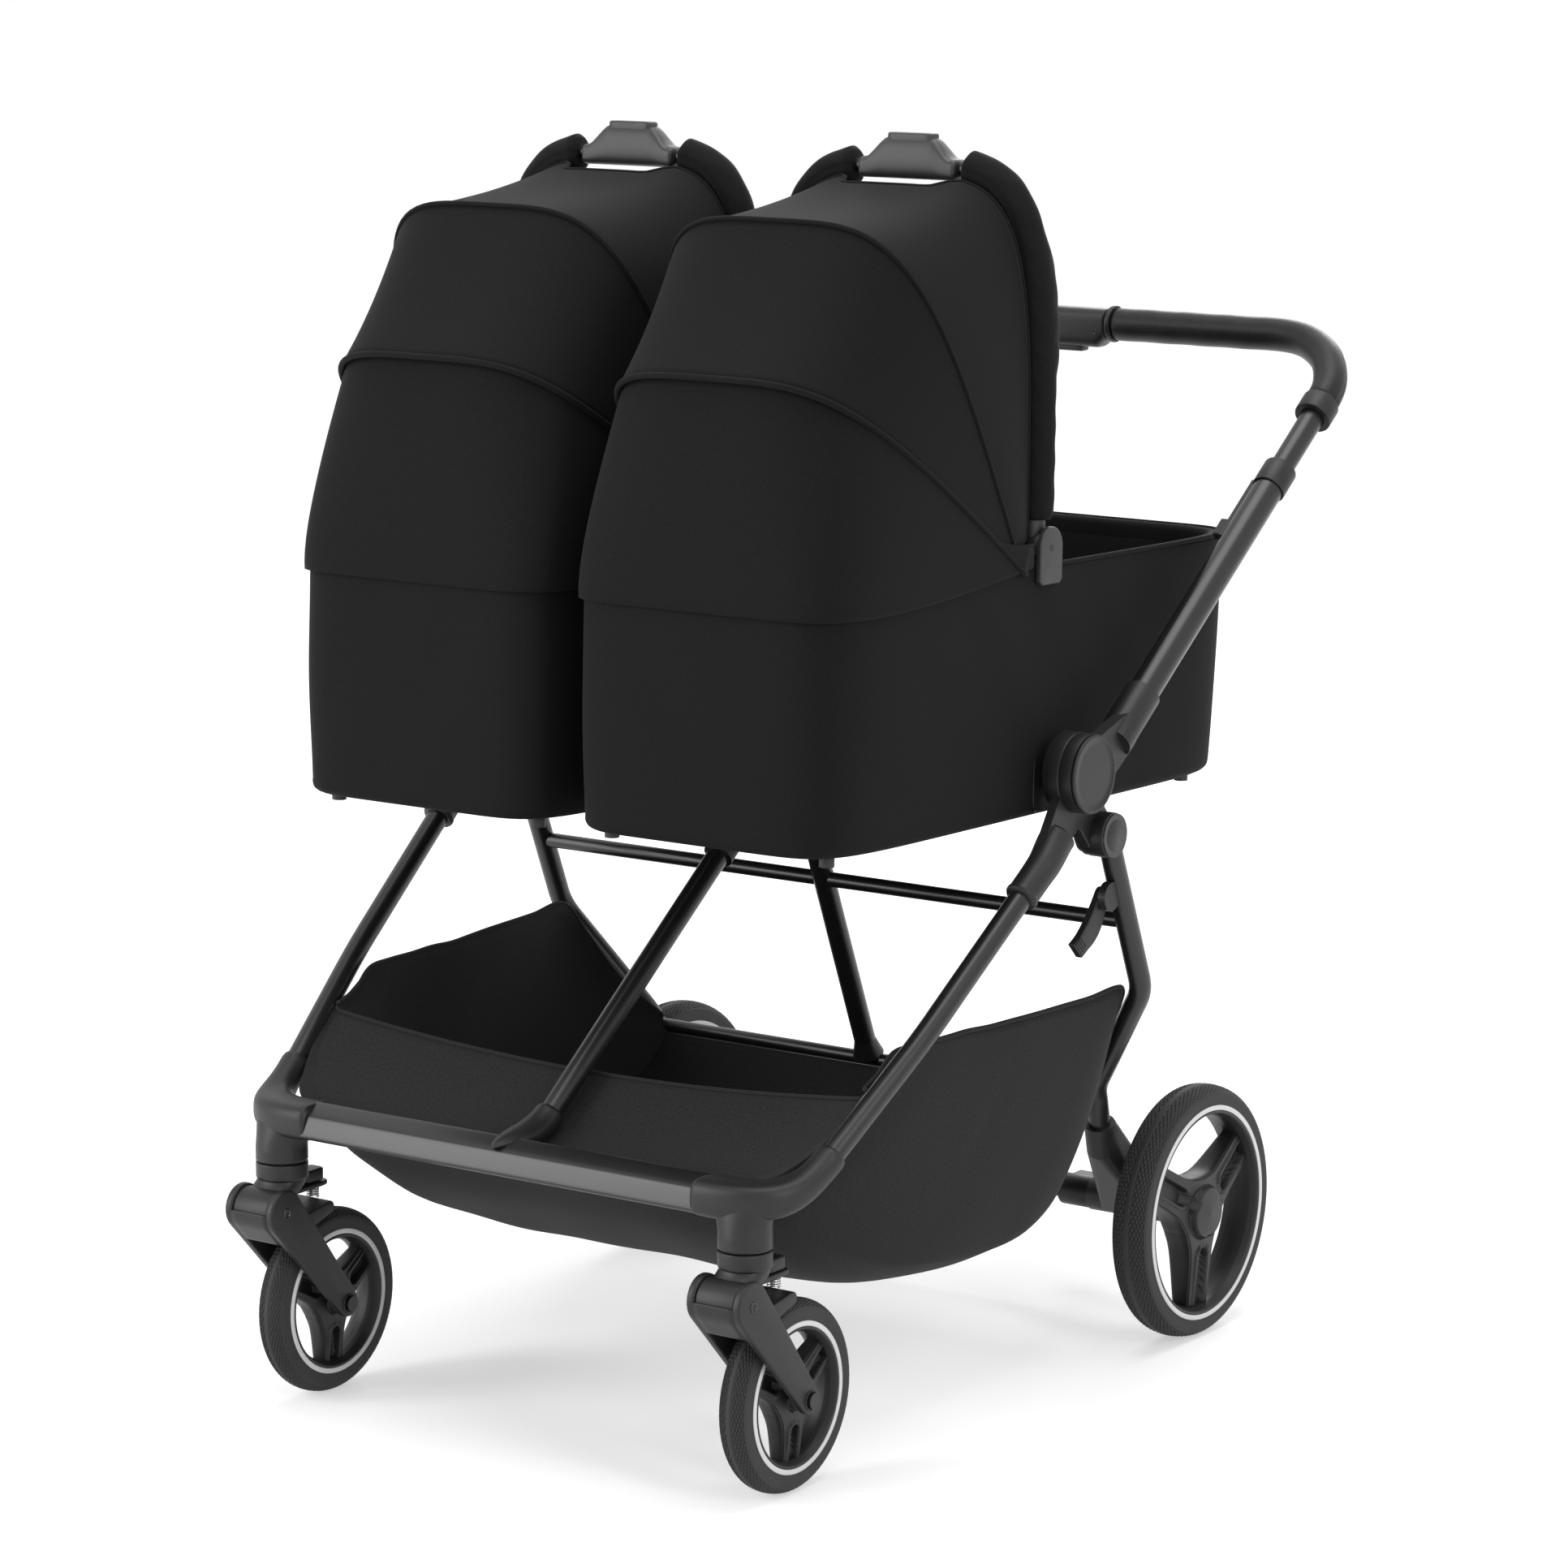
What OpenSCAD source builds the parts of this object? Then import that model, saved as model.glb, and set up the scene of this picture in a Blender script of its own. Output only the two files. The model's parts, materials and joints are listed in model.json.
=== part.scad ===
// Side-by-side twin pram with two carrycots, on a folding tube frame.
// Lengths are in millimetres. +Z is up and the pram's front faces -Y.
// Left and right are those of someone who faces the pram from the front.
// Places along the pram are measured back from the front axle, and heights from the ground.

/* [Wheels] */
// Diameter of a front wheel over its tyre
front_wheel_d = 180; // [160:1:200]
// Width of a front tyre
front_tyre_w = 33; // [30:1:36]
// Distance between the middles of the front wheels
front_track = 540; // [520:1:560]
// Diameter of a rear wheel over its tyre
rear_wheel_d = 255; // [235:1:270]
// Width of a rear tyre
rear_tyre_w = 44; // [38:1:45]
// Distance between the middles of the rear wheels
rear_track = 640; // [632:1:656]
// Distance from the front axle back to the rear axle
wheel_base = 638; // [620:1:660]
// Height of a tyre's section
tyre_h = 21; // [16:1:24]
// Radius of the crown of a front tyre
front_crown_r = 18; // [18:0.5:30]
// Radius of the crown of a rear tyre
rear_crown_r = 23; // [23:0.5:40]
// Thickness of a rim's barrel
rim_wall = 4; // [3:0.5:6]
// Diameter of a wheel's hub
wheel_hub_d = 46; // [44:1:52]
// Width of a double spoke
spoke_w = 34; // [28:1:38]
// Thickness of a spoke along the axle
spoke_t = 14; // [10:1:18]
// Width of the slot in a double spoke
spoke_slot_w = 14; // [8:1:18]
// Number of double spokes
spoke_count = 3; // [3:1:5]

/* [Frame tubes] */
// Diameter of the front and rear legs
leg_d = 22; // [19:0.5:25]
// Distance from a hub's outer face in to the upper end of a front leg
leg_top_in = 14; // [11:0.5:17]
// Distance between the side legs at the corner castings
leg_span_foot = 622; // [612:1:632]
// Place of a front leg's lower end
leg_foot_y = 0; // [-6:1:6]
// Height of a front leg's lower end
leg_foot_z = 308.6; // [302:0.1:314]
// Place of a front leg's upper end
leg_top_y = 306; // [300:1:312]
// Height of a front leg's upper end
leg_top_z = 536; // [530:1:542]
// Bend radius of a front leg
leg_bend_r = 800; // [600:10:1200]
// How far a side front leg bows outwards at its bend
leg_bow = 6; // [3:0.5:9]
// Diameter of the cross tubes
cross_d = 15; // [12:0.5:18]

/* [Front bar] */
// Width of the front bar between the corner castings
bar_w = 460; // [440:1:480]
// Depth of the front bar
bar_depth = 44; // [36:1:50]
// Height of the bar's front face
bar_face_h = 24; // [18:1:30]
// Rise of the bar's top from its front edge to its crest
bar_crest_h = 8; // [4:1:12]
// Place of the bar's front face
bar_front_y = -85; // [-95:1:-80]
// Height of the bar's underside
bar_bottom_z = 271; // [265:1:276]

/* [Hubs] */
// Place of the hub axis that the handle folds about
hub_y = 370; // [364:1:376]
// Height of the hub axis
hub_z = 616; // [610:1:622]
// Diameter of the hub rings
hub_d = 76; // [68:1:80]
// Diameter of a hub cover
hub_cover_d = 73; // [64:1:76]
// Thickness of a hub cover
hub_cover_t = 4; // [3:0.5:6]
// Distance from the middle of a rear leg out to the outer face of its hub
hub_out = 11; // [7:0.5:15]
// Thickness of the handle's ring in a hub
knuckle_t = 13; // [11:0.5:15]
// Thickness of the frame's ring in a hub
ring_t = 18; // [15:0.5:20]
// Place of the pivot that the rear legs fold about
pivot_y = 410; // [404:1:416]
// Height of the rear legs' pivot
pivot_z = 551; // [546:1:556]
// Diameter of the rear legs' pivot bosses
pivot_boss_d = 42; // [36:1:46]
// Diameter of the pivot pins
pivot_pin_d = 12; // [8:0.5:14]
// Thickness of the centre hub's mast between the cots
mast_t = 8; // [6:0.5:9]

/* [Rear frame] */
// Distance between the rear legs at their upper ends
rear_span_top = 702; // [698:1:708]
// Distance between the rear legs at the axle housings
rear_span_foot = 524; // [510:1:536]
// Height where a rear leg starts to bend in
rear_bend_z = 386; // [378:1:394]
// Height where a rear leg has bent in
rear_joggle_z = 270; // [262:1:280]
// Height of a rear leg's lower end
rear_foot_z = 200; // [190:1:210]
// Distance between the rear legs where they have bent in
rear_span_joggle = 542; // [534:1:550]
// Bend radius of a rear leg
rear_bend_r = 50; // [35:1:60]
// Rearward lean of a rear leg for each millimetre of drop
rear_lean_share = 0.411;
// Distance from the rear legs' pivot back to the line of the legs
rear_leg_back = 7; // [0:0.5:10]
// Height of the upper cross tube
upper_cross_z = 459; // [450:1:468]
// Height of the lower cross tube
lower_cross_z = 258; // [250:1:264]
// Diameter of the rear axle tube
axle_tube_d = 20; // [16:0.5:24]
// Diameter of the stub that carries a rear wheel
stub_d = 10; // [8:0.5:12]
// Diameter of an axle housing's barrel
housing_d = 34; // [28:1:38]
// Length of an axle housing's barrel
housing_w = 86; // [76:1:92]

/* [Handle] */
// Angle of the handle above level
handle_angle = 36; // [30:0.5:42]
// Distance from the hub axis down to the handle's plane
handle_drop = 14; // [10:0.5:18]
// Distance from a hub's outer face in to the middle of a handle tube
handle_in = 10; // [8:0.5:12]
// Distance along the handle from the hub to the cross bar
handle_reach = 638; // [620:1:650]
// Bend radius of the handle bar
handle_bend_r = 95; // [80:1:110]
// Diameter of the handle bar tube
bar_tube_d = 24; // [20:0.5:26]
// Diameter of the upper tubes
upper_tube_d = 30; // [28:0.5:32]
// Distance along the handle from the hub to the end of an upper tube
upper_tube_end = 436; // [420:1:450]
// Diameter of an arm housing
arm_d = 36; // [33:0.5:38]
// Distance along the handle from the hub to the end of an arm housing
arm_end = 122; // [110:1:135]
// Distance along the handle from the hub to the end of the bar tube
bar_tube_start = 260; // [230:1:300]
// Diameter of the grips
grip_d = 34; // [30:0.5:36]
// Straight length of a grip before its bend
grip_straight = 2; // [2:0.5:12]
// Half the bare length of the cross bar between the grips
bare_half_w = 66; // [60:1:75]
// Width of the fold trigger's housing
trigger_w = 120; // [100:1:124]
// Depth of the fold trigger's housing
trigger_depth = 28; // [24:1:30]
// Height of the fold trigger's housing below the bar's middle
trigger_h = 25; // [24:1:34]
// Width of the fold button
button_w = 58; // [44:1:70]
// Travel of the fold button
button_travel = 5; // [3:0.5:7]

/* [Casters] */
// Trail of a front wheel behind its swivel axis
caster_trail = 62; // [52:1:70]
// Height of the seam between a corner casting and its caster
caster_seam_z = 242; // [238:1:246]
// Diameter of a caster column at the seam
column_d = 50; // [44:1:54]
// Diameter of a kingpin
kingpin_d = 10; // [8:0.5:12]
// Height of a swivel ring
swivel_ring_h = 17; // [14:1:20]
// Place of the fork pivot ahead of the front axle
fork_pivot_ahead = 90; // [84:1:96]
// Height of the fork pivot
fork_pivot_z = 199; // [195:1:203]
// Diameter of a caster's crown barrel
crown_d = 42; // [38:1:46]
// Thickness of a fork arm
fork_arm_t = 8; // [6:0.5:9]
// Gap between the two arms of a fork
fork_gap = 42; // [41:0.5:46]
// Width of a fork arm at its ends
fork_arm_w = 32; // [26:1:36]
// Diameter of a front axle
front_axle_d = 8; // [6:0.5:10]
// Diameter of a suspension spring
spring_d = 13; // [10:0.5:15]
// Diameter of the spring's wire
spring_wire_d = 1.8; // [1.4:0.1:2.2]
// Number of curls in a suspension spring
spring_curls = 4; // [3:1:5]

/* [Basket] */
// Thickness of the basket's cloth
basket_t = 3; // [2:0.5:4]
// Lowest height of the basket's floor
basket_floor_z = 131; // [120:1:145]
// Height of the basket's front hem
basket_front_z = 357; // [350:1:364]

/* [Cots] */
// Distance from the middle of the pram to the middle of a cot
cot_x = 163; // [161:0.5:165]
// Width of a cot at its rim
cot_w = 312; // [304:1:314]
// Width of a cot at its floor
cot_floor_w = 305; // [290:1:308]
// Distance from the hub axis to the front of a cot's rim
cot_front = 364; // [350:1:370]
// Distance from the hub axis to the rear of a cot's rim
cot_rear = 356; // [340:1:362]
// How far a cot's rear end draws in at the floor
cot_rear_draw = 10; // [0:1:30]
// Height of a cot's rim above the hub axis
cot_rim_h = 196; // [188:1:200]
// Depth of a cot's underside below the hub axis
cot_floor_drop = 42; // [36:1:46]
// Thickness of a cot's padded wall
cot_wall = 12; // [8:1:16]
// Thickness of a cot's floor
cot_floor_t = 10; // [6:1:14]
// Rearward tilt of the cots in degrees
cot_tilt = 1.5; // [0:0.1:3]
// Thickness of a mattress at its middle
mattress_t = 38; // [28:1:50]
// Gap between a mattress and the wall round it
mattress_gap = 8; // [5:1:14]
// Diameter of a cot's foot
foot_d = 14; // [10:1:18]
// Height of a cot's foot
foot_h = 10; // [6:1:12]
// Diameter of a cot's side plug
plug_d = 24; // [20:1:28]

/* [Hoods] */
// Width of a hood over its fabric
hood_w = 318.6; // [318:0.1:319]
// Thickness of a hood's fabric
hood_t = 2.5; // [1.5:0.5:3]
// Distance from the hub axis forward to the hood pivot
hood_pivot_ahead = 22; // [16:1:26]
// Height of the hood pivot above the hub axis
hood_pivot_h = 213; // [208:1:220]
// Drop of the hood's hem below the cot's rim
hem_drop = 24; // [18:1:28]
// Reach of the hood from its pivot at the hem
hem_reach = 346.5; // [346:0.1:350]
// Reach of the hood from its pivot at the low bow
low_bow_reach = 352; // [340:1:360]
// Reach of the hood from its pivot at the piping
piping_reach = 382; // [372:1:390]
// Reach of the hood from its pivot at the carry arch
arch_reach = 366; // [355:1:372]
// Angle of the low bow above level
low_bow_angle = 30; // [26:1:34]
// Angle of the piping above level
piping_angle = 57; // [50:1:62]
// Diameter of the padded carry arch
arch_d = 30; // [26:1:34]
// Width of the carry grip
carry_grip_w = 112; // [100:1:124]
// Height of the carry grip
carry_grip_h = 20; // [16:1:24]
// Travel of the carry button
carry_button_travel = 3; // [2:0.5:4]

/* [Hidden] */
$fn = 48;
hull_fn = 32;
ball_fn = 20;
overrun = 1;
fit = 0.05;
running = 0.3;
steep_share = 0.9;

// Distance from the front axle back to the middle of the whole pram
origin_back = 401;

front_axle_z = front_wheel_d / 2;
rear_axle_z = rear_wheel_d / 2;
front_wheel_x = front_track / 2;
rear_wheel_x = rear_track / 2;
caster_y = -caster_trail;
fork_pivot_y = -fork_pivot_ahead;

// Stack of a side hub from its outer face inwards
hub_outer_x = rear_span_top / 2 + hub_out;
cover_x = hub_outer_x;
knuckle_x = hub_outer_x - knuckle_t;
ring_x = knuckle_x - running - ring_t;
hub_bolt_d = 16;

// A front leg's course: straight from both ends to a gentle bend
leg_rise_share = (leg_top_z - leg_foot_z) / (leg_top_y - leg_foot_y);
leg_bend_share = 0.42;
leg_foot_x = leg_span_foot / 2;
leg_top_x = hub_outer_x - leg_top_in;
leg_bend_x = leg_foot_x + (leg_top_x - leg_foot_x) * leg_bend_share + leg_bow;
leg_bend_y = leg_foot_y + (leg_top_y - leg_foot_y) * leg_bend_share;
leg_bend_z = leg_foot_z + (leg_top_z - leg_foot_z) * leg_bend_share;
leg_dir = [0, 1, leg_rise_share] / norm([0, 1, leg_rise_share]);

// A rear leg's course: down from its pivot, a joggle inwards, and into its housing
function rear_leg_y(z) = pivot_y + rear_leg_back + (pivot_z - z) * rear_lean_share;
function rear_leg_point(span, z) = [span / 2, rear_leg_y(z), z];

// Handle plane: distance along the handle and side offset to a place in space
handle_dir = [0, cos(handle_angle), sin(handle_angle)];
handle_up = [0, -sin(handle_angle), cos(handle_angle)];
handle_root = [0, hub_y, hub_z] - handle_up * handle_drop;
function handle_point(x, s) = handle_root + [x, 0, 0] + handle_dir * s;
handle_x = hub_outer_x - handle_in;
grip_start = handle_reach - handle_bend_r - grip_straight;
collar_wall = 2;
bar_mid = handle_point(0, handle_reach);

// Unit vector along v
function unit(v) = v / norm(v);
// Superellipse power with its sign kept
function spow(v, p) = sign(v) * pow(abs(v), p);

frame_black = [0.05, 0.05, 0.05];
plastic_black = [0.08, 0.08, 0.08];
cloth_black = [0.04, 0.04, 0.045];
tyre_black = [0.12, 0.12, 0.12];
spring_steel = [0.75, 0.75, 0.77];

// Puts the whole pram over its own middle
module place() translate([0, -origin_back, 0]) children();

// Mirrors its children to the pram's left where side is -1
module flip(side) mirror([side < 0 ? 1 : 0, 0, 0]) children();

module both_sides() for (side = [-1, 1]) flip(side) children();

// Turns local Z along u at point p
module aim(p, u) {
    w = unit(u);
    side_dir = unit(cross(abs(w.x) > steep_share ? [0, 0, 1] : [1, 0, 0], w));
    up_dir = cross(w, side_dir);
    multmatrix([
        [side_dir.x, up_dir.x, w.x, p.x],
        [side_dir.y, up_dir.y, w.y, p.y],
        [side_dir.z, up_dir.z, w.z, p.z]
    ]) children();
}

module rod(p, q, d) aim(p, q - p) cylinder(d = d, h = norm(q - p));

// Cylinder along X from x0 to x1 at (y, z)
module x_rod(x0, x1, y, z, d) translate([x0, y, z]) rotate([0, 90, 0]) cylinder(d = d, h = x1 - x0);

// Round bar along a polyline whose corners are bent to radius r. Each elbow is a little slimmer than
// the straights and its ends run into them.
module bent_bar(points, d, r) {
    last = len(points) - 1;
    legs = [for (i = [0:last - 1]) unit(points[i + 1] - points[i])];
    turns = [for (i = [0:last]) i == 0 || i == last ? 0 : acos(legs[i - 1] * legs[i])];
    backs = [for (a = turns) r * tan(a / 2)];
    lap = asin(overrun / r);
    for (i = [0:last - 1])
        rod(points[i] + legs[i] * backs[i], points[i + 1] - legs[i] * backs[i + 1], d);
    for (i = [1:1:last - 1]) {
        inward = unit(legs[i] - legs[i - 1] * (legs[i] * legs[i - 1]));
        axis = cross(-inward, legs[i - 1]);
        centre = points[i] - legs[i - 1] * backs[i] + inward * r;
        multmatrix([
            [-inward.x, legs[i - 1].x, axis.x, centre.x],
            [-inward.y, legs[i - 1].y, axis.y, centre.y],
            [-inward.z, legs[i - 1].z, axis.z, centre.z]
        ]) rotate(-lap) rotate_extrude(angle = turns[i] + 2 * lap) translate([r, 0]) circle(d = d - 2 * fit);
    }
}

// Triangles of a quad
function split(q) = [[q[0], q[1], q[2]], [q[0], q[2], q[3]]];

// Closed sheet between an outer and an inner grid of points
module sheet_solid(outer, inner) {
    rows = len(outer);
    cols = len(outer[0]);
    count = rows * cols;
    function id(i, j) = i * cols + j;
    quads = concat(
        [for (i = [0:rows - 2]) for (j = [0:cols - 2])
            [id(i, j), id(i + 1, j), id(i + 1, j + 1), id(i, j + 1)]],
        [for (i = [0:rows - 2]) for (j = [0:cols - 2])
            [count + id(i, j), count + id(i, j + 1), count + id(i + 1, j + 1), count + id(i + 1, j)]],
        [for (j = [0:cols - 2]) [id(0, j), id(0, j + 1), count + id(0, j + 1), count + id(0, j)]],
        [for (j = [0:cols - 2])
            [id(rows - 1, j + 1), id(rows - 1, j), count + id(rows - 1, j), count + id(rows - 1, j + 1)]],
        [for (i = [0:rows - 2]) [id(i + 1, 0), id(i, 0), count + id(i, 0), count + id(i + 1, 0)]],
        [for (i = [0:rows - 2])
            [id(i, cols - 1), id(i + 1, cols - 1), count + id(i + 1, cols - 1), count + id(i, cols - 1)]]
    );
    polyhedron(
        points = concat([for (row = outer) each row], [for (row = inner) each row]),
        faces = [for (q = quads) each split(q)]
    );
}

// Solid lofted through closed rings of points, with a flat fan on both ends
module ring_solid(rings) {
    rows = len(rings);
    cols = len(rings[0]);
    count = rows * cols;
    function id(i, j) = i * cols + j % cols;
    function mean(ring) = [for (k = [0:2]) [for (p = ring) p[k]] * [for (p = ring) 1] / cols];
    quads = [for (i = [0:rows - 2]) for (j = [0:cols - 1])
        [id(i, j), id(i + 1, j), id(i + 1, j + 1), id(i, j + 1)]];
    polyhedron(
        points = concat([for (ring = rings) each ring], [mean(rings[0]), mean(rings[rows - 1])]),
        faces = concat(
            [for (q = quads) each split(q)],
            [for (j = [0:cols - 1]) [id(0, j), id(0, j + 1), count]],
            [for (j = [0:cols - 1]) [id(rows - 1, j + 1), id(rows - 1, j), count + 1]]
        )
    );
}

// Section of the tyre: a band with a round crown
module tyre(d, w, crown_r) rotate_extrude() intersection() {
    translate([d / 2 - tyre_h, -w / 2]) square([tyre_h, w]);
    translate([d / 2 - crown_r, 0]) circle(r = crown_r);
}

// One double spoke: a bar with a slot on both faces that opens at the rim, and a thin web between them
spoke_root = 7;
spoke_web_t = 3;
plate_share = 0.4;
plate_inset = 2;
module spoke(r) {
    slot_start = wheel_hub_d / 2 + spoke_root + spoke_slot_w / 2;
    linear_extrude(spoke_t, center = true) difference() {
        translate([0, -spoke_w / 2]) square([r, spoke_w]);
        translate([slot_start, 0]) circle(d = spoke_slot_w);
        translate([slot_start, -spoke_slot_w / 2]) square([r, spoke_slot_w]);
    }
    linear_extrude(spoke_web_t, center = true) translate([0, -spoke_w / 2]) square([r, spoke_w]);
}

// Plate round the hub, hollowed between the spokes
module hub_plate(r) {
    plate_r = wheel_hub_d / 2 + (r - wheel_hub_d / 2) * plate_share;
    linear_extrude(spoke_t - 2 * plate_inset, center = true) difference() {
        circle(r = plate_r);
        for (i = [0:spoke_count - 1]) rotate((i + 0.5) * 360 / spoke_count)
            translate([wheel_hub_d / 2 + plate_inset + plate_r, 0]) circle(r = plate_r);
    }
}

module rim(d, w, hub_w, bore_d, bore_h) {
    r = d / 2 - tyre_h - fit;
    difference() {
        union() {
            rotate_extrude() translate([r - rim_wall, -w / 2]) square([rim_wall, w]);
            cylinder(d = wheel_hub_d, h = hub_w, center = true);
            intersection() {
                cylinder(r = r - rim_wall / 2, h = spoke_t, center = true);
                for (i = [0:spoke_count - 1]) rotate(i * 360 / spoke_count) spoke(r);
            }
            hub_plate(r);
        }
        translate([0, 0, -hub_w / 2 - overrun]) cylinder(d = bore_d, h = bore_h + overrun);
    }
}

rim_w_share = 0.86;
front_hub_w = fork_gap - 2 * running;
rear_hub_w = 54;
hub_face_t = 4;

// A wheel's own Z points away from the pram at the rear, where the hub is closed on its outer face
module front_wheel_at(side) translate([side * front_wheel_x, 0, front_axle_z]) rotate([0, 90, 0]) children();
module rear_wheel_at(side) translate([side * rear_wheel_x, wheel_base, rear_axle_z])
    rotate([0, side * 90, 0]) rotate(side < 0 ? 180 : 0) children();

module front_tyre(side) color(tyre_black) front_wheel_at(side)
    tyre(front_wheel_d, front_tyre_w, front_crown_r);

module rear_tyre(side) color(tyre_black) rear_wheel_at(side)
    tyre(rear_wheel_d, rear_tyre_w, rear_crown_r);

module front_rim(side) color(plastic_black) front_wheel_at(side)
    rim(front_wheel_d, front_tyre_w * rim_w_share, front_hub_w, front_axle_d + 2 * fit,
        front_hub_w + overrun);

module rear_rim(side) color(plastic_black) rear_wheel_at(side)
    rim(rear_wheel_d, rear_tyre_w * rim_w_share, rear_hub_w, stub_d + 2 * fit, rear_hub_w - hub_face_t);

// Front bar and its corners
bar_lip = 2.5;
bar_edge = 5;
bar_crest_share = 0.68;
bar_back_y = bar_front_y + bar_depth;
bar_top_z = bar_bottom_z + bar_lip + bar_face_h;

module bar_profile() polygon([
    [bar_front_y, bar_bottom_z + bar_lip],
    [bar_front_y, bar_top_z],
    [bar_front_y + bar_depth * bar_crest_share, bar_top_z + bar_crest_h],
    [bar_back_y, bar_top_z],
    [bar_back_y, bar_bottom_z + bar_edge],
    [bar_back_y - bar_edge, bar_bottom_z],
    [bar_front_y + bar_edge, bar_bottom_z]
]);

module bar_slab(x, w) translate([x, 0, 0]) rotate([90, 0, 90]) linear_extrude(w) bar_profile();

module front_bar() color(frame_black) bar_slab(-bar_w / 2, bar_w);

corner_d = 39;
corner_out = 12;
corner_back = 8;
corner_drop = 10;
corner_x = front_wheel_x + corner_out;
corner_y = caster_y + corner_back;
corner_z = bar_top_z - corner_drop;
corner_slab_t = 2;
leg_collar_wall = 4;
leg_collar_d = leg_d + 2 * leg_collar_wall;
leg_collar_h = 26;
leg_seat = 4;
kingpin_h = 34;
side_leg = [
    [leg_foot_x, leg_foot_y, leg_foot_z],
    [leg_bend_x, leg_bend_y, leg_bend_z],
    [leg_top_x, leg_top_y, leg_top_z]
];
side_leg_dir = unit(side_leg[1] - side_leg[0]);
side_leg_top_dir = unit(side_leg[2] - side_leg[1]);

module corner_ball() translate([corner_x, corner_y, corner_z]) sphere(d = corner_d, $fn = ball_fn);

module leg_collar() aim(side_leg[0] - side_leg_dir * leg_seat, side_leg_dir)
    cylinder(d = leg_collar_d, h = leg_collar_h + leg_seat, $fn = hull_fn);

module corner_casting() difference() {
    union() {
        hull() {
            bar_slab(bar_w / 2, corner_slab_t);
            corner_ball();
        }
        hull() {
            corner_ball();
            leg_collar();
        }
        translate([front_wheel_x, caster_y, caster_seam_z])
            cylinder(d = column_d, h = corner_z - caster_seam_z);
    }
    rod(side_leg[0], side_leg[1], leg_d + 2 * fit);
    translate([front_wheel_x, caster_y, caster_seam_z - overrun])
        cylinder(d = kingpin_d + 2 * fit, h = kingpin_h + overrun);
}

module corner_castings() color(plastic_black) both_sides() corner_casting();

// Front legs: two at the sides with a gentle bend, and a straight one in the middle
centre_foot_ahead = 20;
centre_foot = [0, leg_foot_y, leg_foot_z] - leg_dir * centre_foot_ahead;
centre_top = [0, leg_top_y, leg_top_z];

module front_legs() color(frame_black) {
    both_sides() bent_bar(side_leg, leg_d, leg_bend_r);
    rod(centre_foot, centre_top, leg_d);
}

shoe_w = 32;
shoe_tip = 4;
shoe_t = 5;
shoe_collar_h = 26;

module centre_shoe() color(plastic_black) difference() {
    hull() {
        translate([-shoe_w / 2, bar_front_y + shoe_tip, bar_top_z])
            cube([shoe_w, bar_depth - shoe_tip, bar_crest_h + shoe_t]);
        aim(centre_foot - leg_dir * leg_seat, leg_dir)
            cylinder(d = leg_collar_d, h = shoe_collar_h + leg_seat, $fn = hull_fn);
    }
    bar_slab(-bar_w / 2, bar_w);
    rod(centre_foot, centre_top, leg_d + 2 * fit);
}

// Hub castings: a ring for the handle, a socket for the front leg and an ear for the rear leg
hub_socket_h = 40;
hub_web_d = 36;
leg_web_d = 20;
ear_inset = 2;
ear_d = pivot_boss_d - 2 * ear_inset;
eye_w = 21.5;
eye_x = rear_span_top / 2 - eye_w / 2;
ear_x = eye_x - running;
centre_eye_w = 22;
centre_ear_t = 6;
mast_top_d = 40;

module hub_socket(top, dir) aim(top - dir * hub_socket_h, dir)
    cylinder(d = leg_collar_d, h = hub_socket_h + leg_seat);

module x_disc(x, w, y, z, d) x_rod(x, x + w, y, z, d, $fn = hull_fn);

module side_hub_casting() difference() {
    union() {
        x_rod(ring_x, ring_x + ring_t, hub_y, hub_z, hub_d);
        x_rod(ring_x, cover_x - running, hub_y, hub_z, hub_bolt_d);
        hub_socket(side_leg[2], side_leg_top_dir);
        hull() {
            x_disc(ring_x + ring_t / 2, ring_t / 2, hub_y, hub_z, hub_web_d);
            x_disc(ring_x + ring_t / 2, ring_t / 2, leg_top_y, leg_top_z, leg_web_d);
        }
        hull() {
            x_disc(ring_x, ear_x - ring_x, hub_y, hub_z, hub_web_d);
            x_disc(ring_x, ear_x - ring_x, pivot_y, pivot_z, ear_d);
        }
        x_rod(ear_x - overrun, eye_x + eye_w - running, pivot_y, pivot_z, pivot_pin_d);
    }
    rod(side_leg[1], side_leg[2], leg_d + 2 * fit);
}

module centre_ear() hull() {
    x_disc(centre_eye_w / 2 + running, centre_ear_t, leg_top_y, leg_top_z, leg_web_d);
    x_disc(centre_eye_w / 2 + running, centre_ear_t, pivot_y, pivot_z, ear_d);
}

module centre_hub_casting() difference() {
    union() {
        hub_socket(centre_top, leg_dir);
        both_sides() centre_ear();
        x_rod(-centre_eye_w / 2 - overrun, centre_eye_w / 2 + overrun, pivot_y, pivot_z, pivot_pin_d);
        hull() {
            x_disc(-mast_t / 2, mast_t, leg_top_y, leg_top_z, leg_web_d);
            x_disc(-mast_t / 2, mast_t, hub_y, hub_z, mast_top_d);
        }
    }
    rod(centre_foot, centre_top, leg_d + 2 * fit);
}

module hub_castings() color(plastic_black) {
    both_sides() side_hub_casting();
    centre_hub_casting();
}

// Cups that the cots' side plugs sit in, open at the top
cup_wall = 7;
cup_gap = 2;
cot_side_share = cot_floor_drop / (cot_rim_h + cot_floor_drop);
cot_half_w = (cot_floor_w + (cot_w - cot_floor_w) * cot_side_share) / 2;
outer_wall_x = cot_x + cot_half_w;
inner_wall_x = cot_x - cot_half_w;

module cup(x0, x1) difference() {
    x_rod(x0, x1, hub_y, hub_z, plug_d + 2 * cup_wall);
    x_rod(x0 - overrun, x1 + overrun, hub_y, hub_z, plug_d + 2 * running);
    translate([x0 - overrun, hub_y - hub_d / 2, hub_z]) cube([x1 - x0 + 2 * overrun, hub_d, hub_d]);
}

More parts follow.
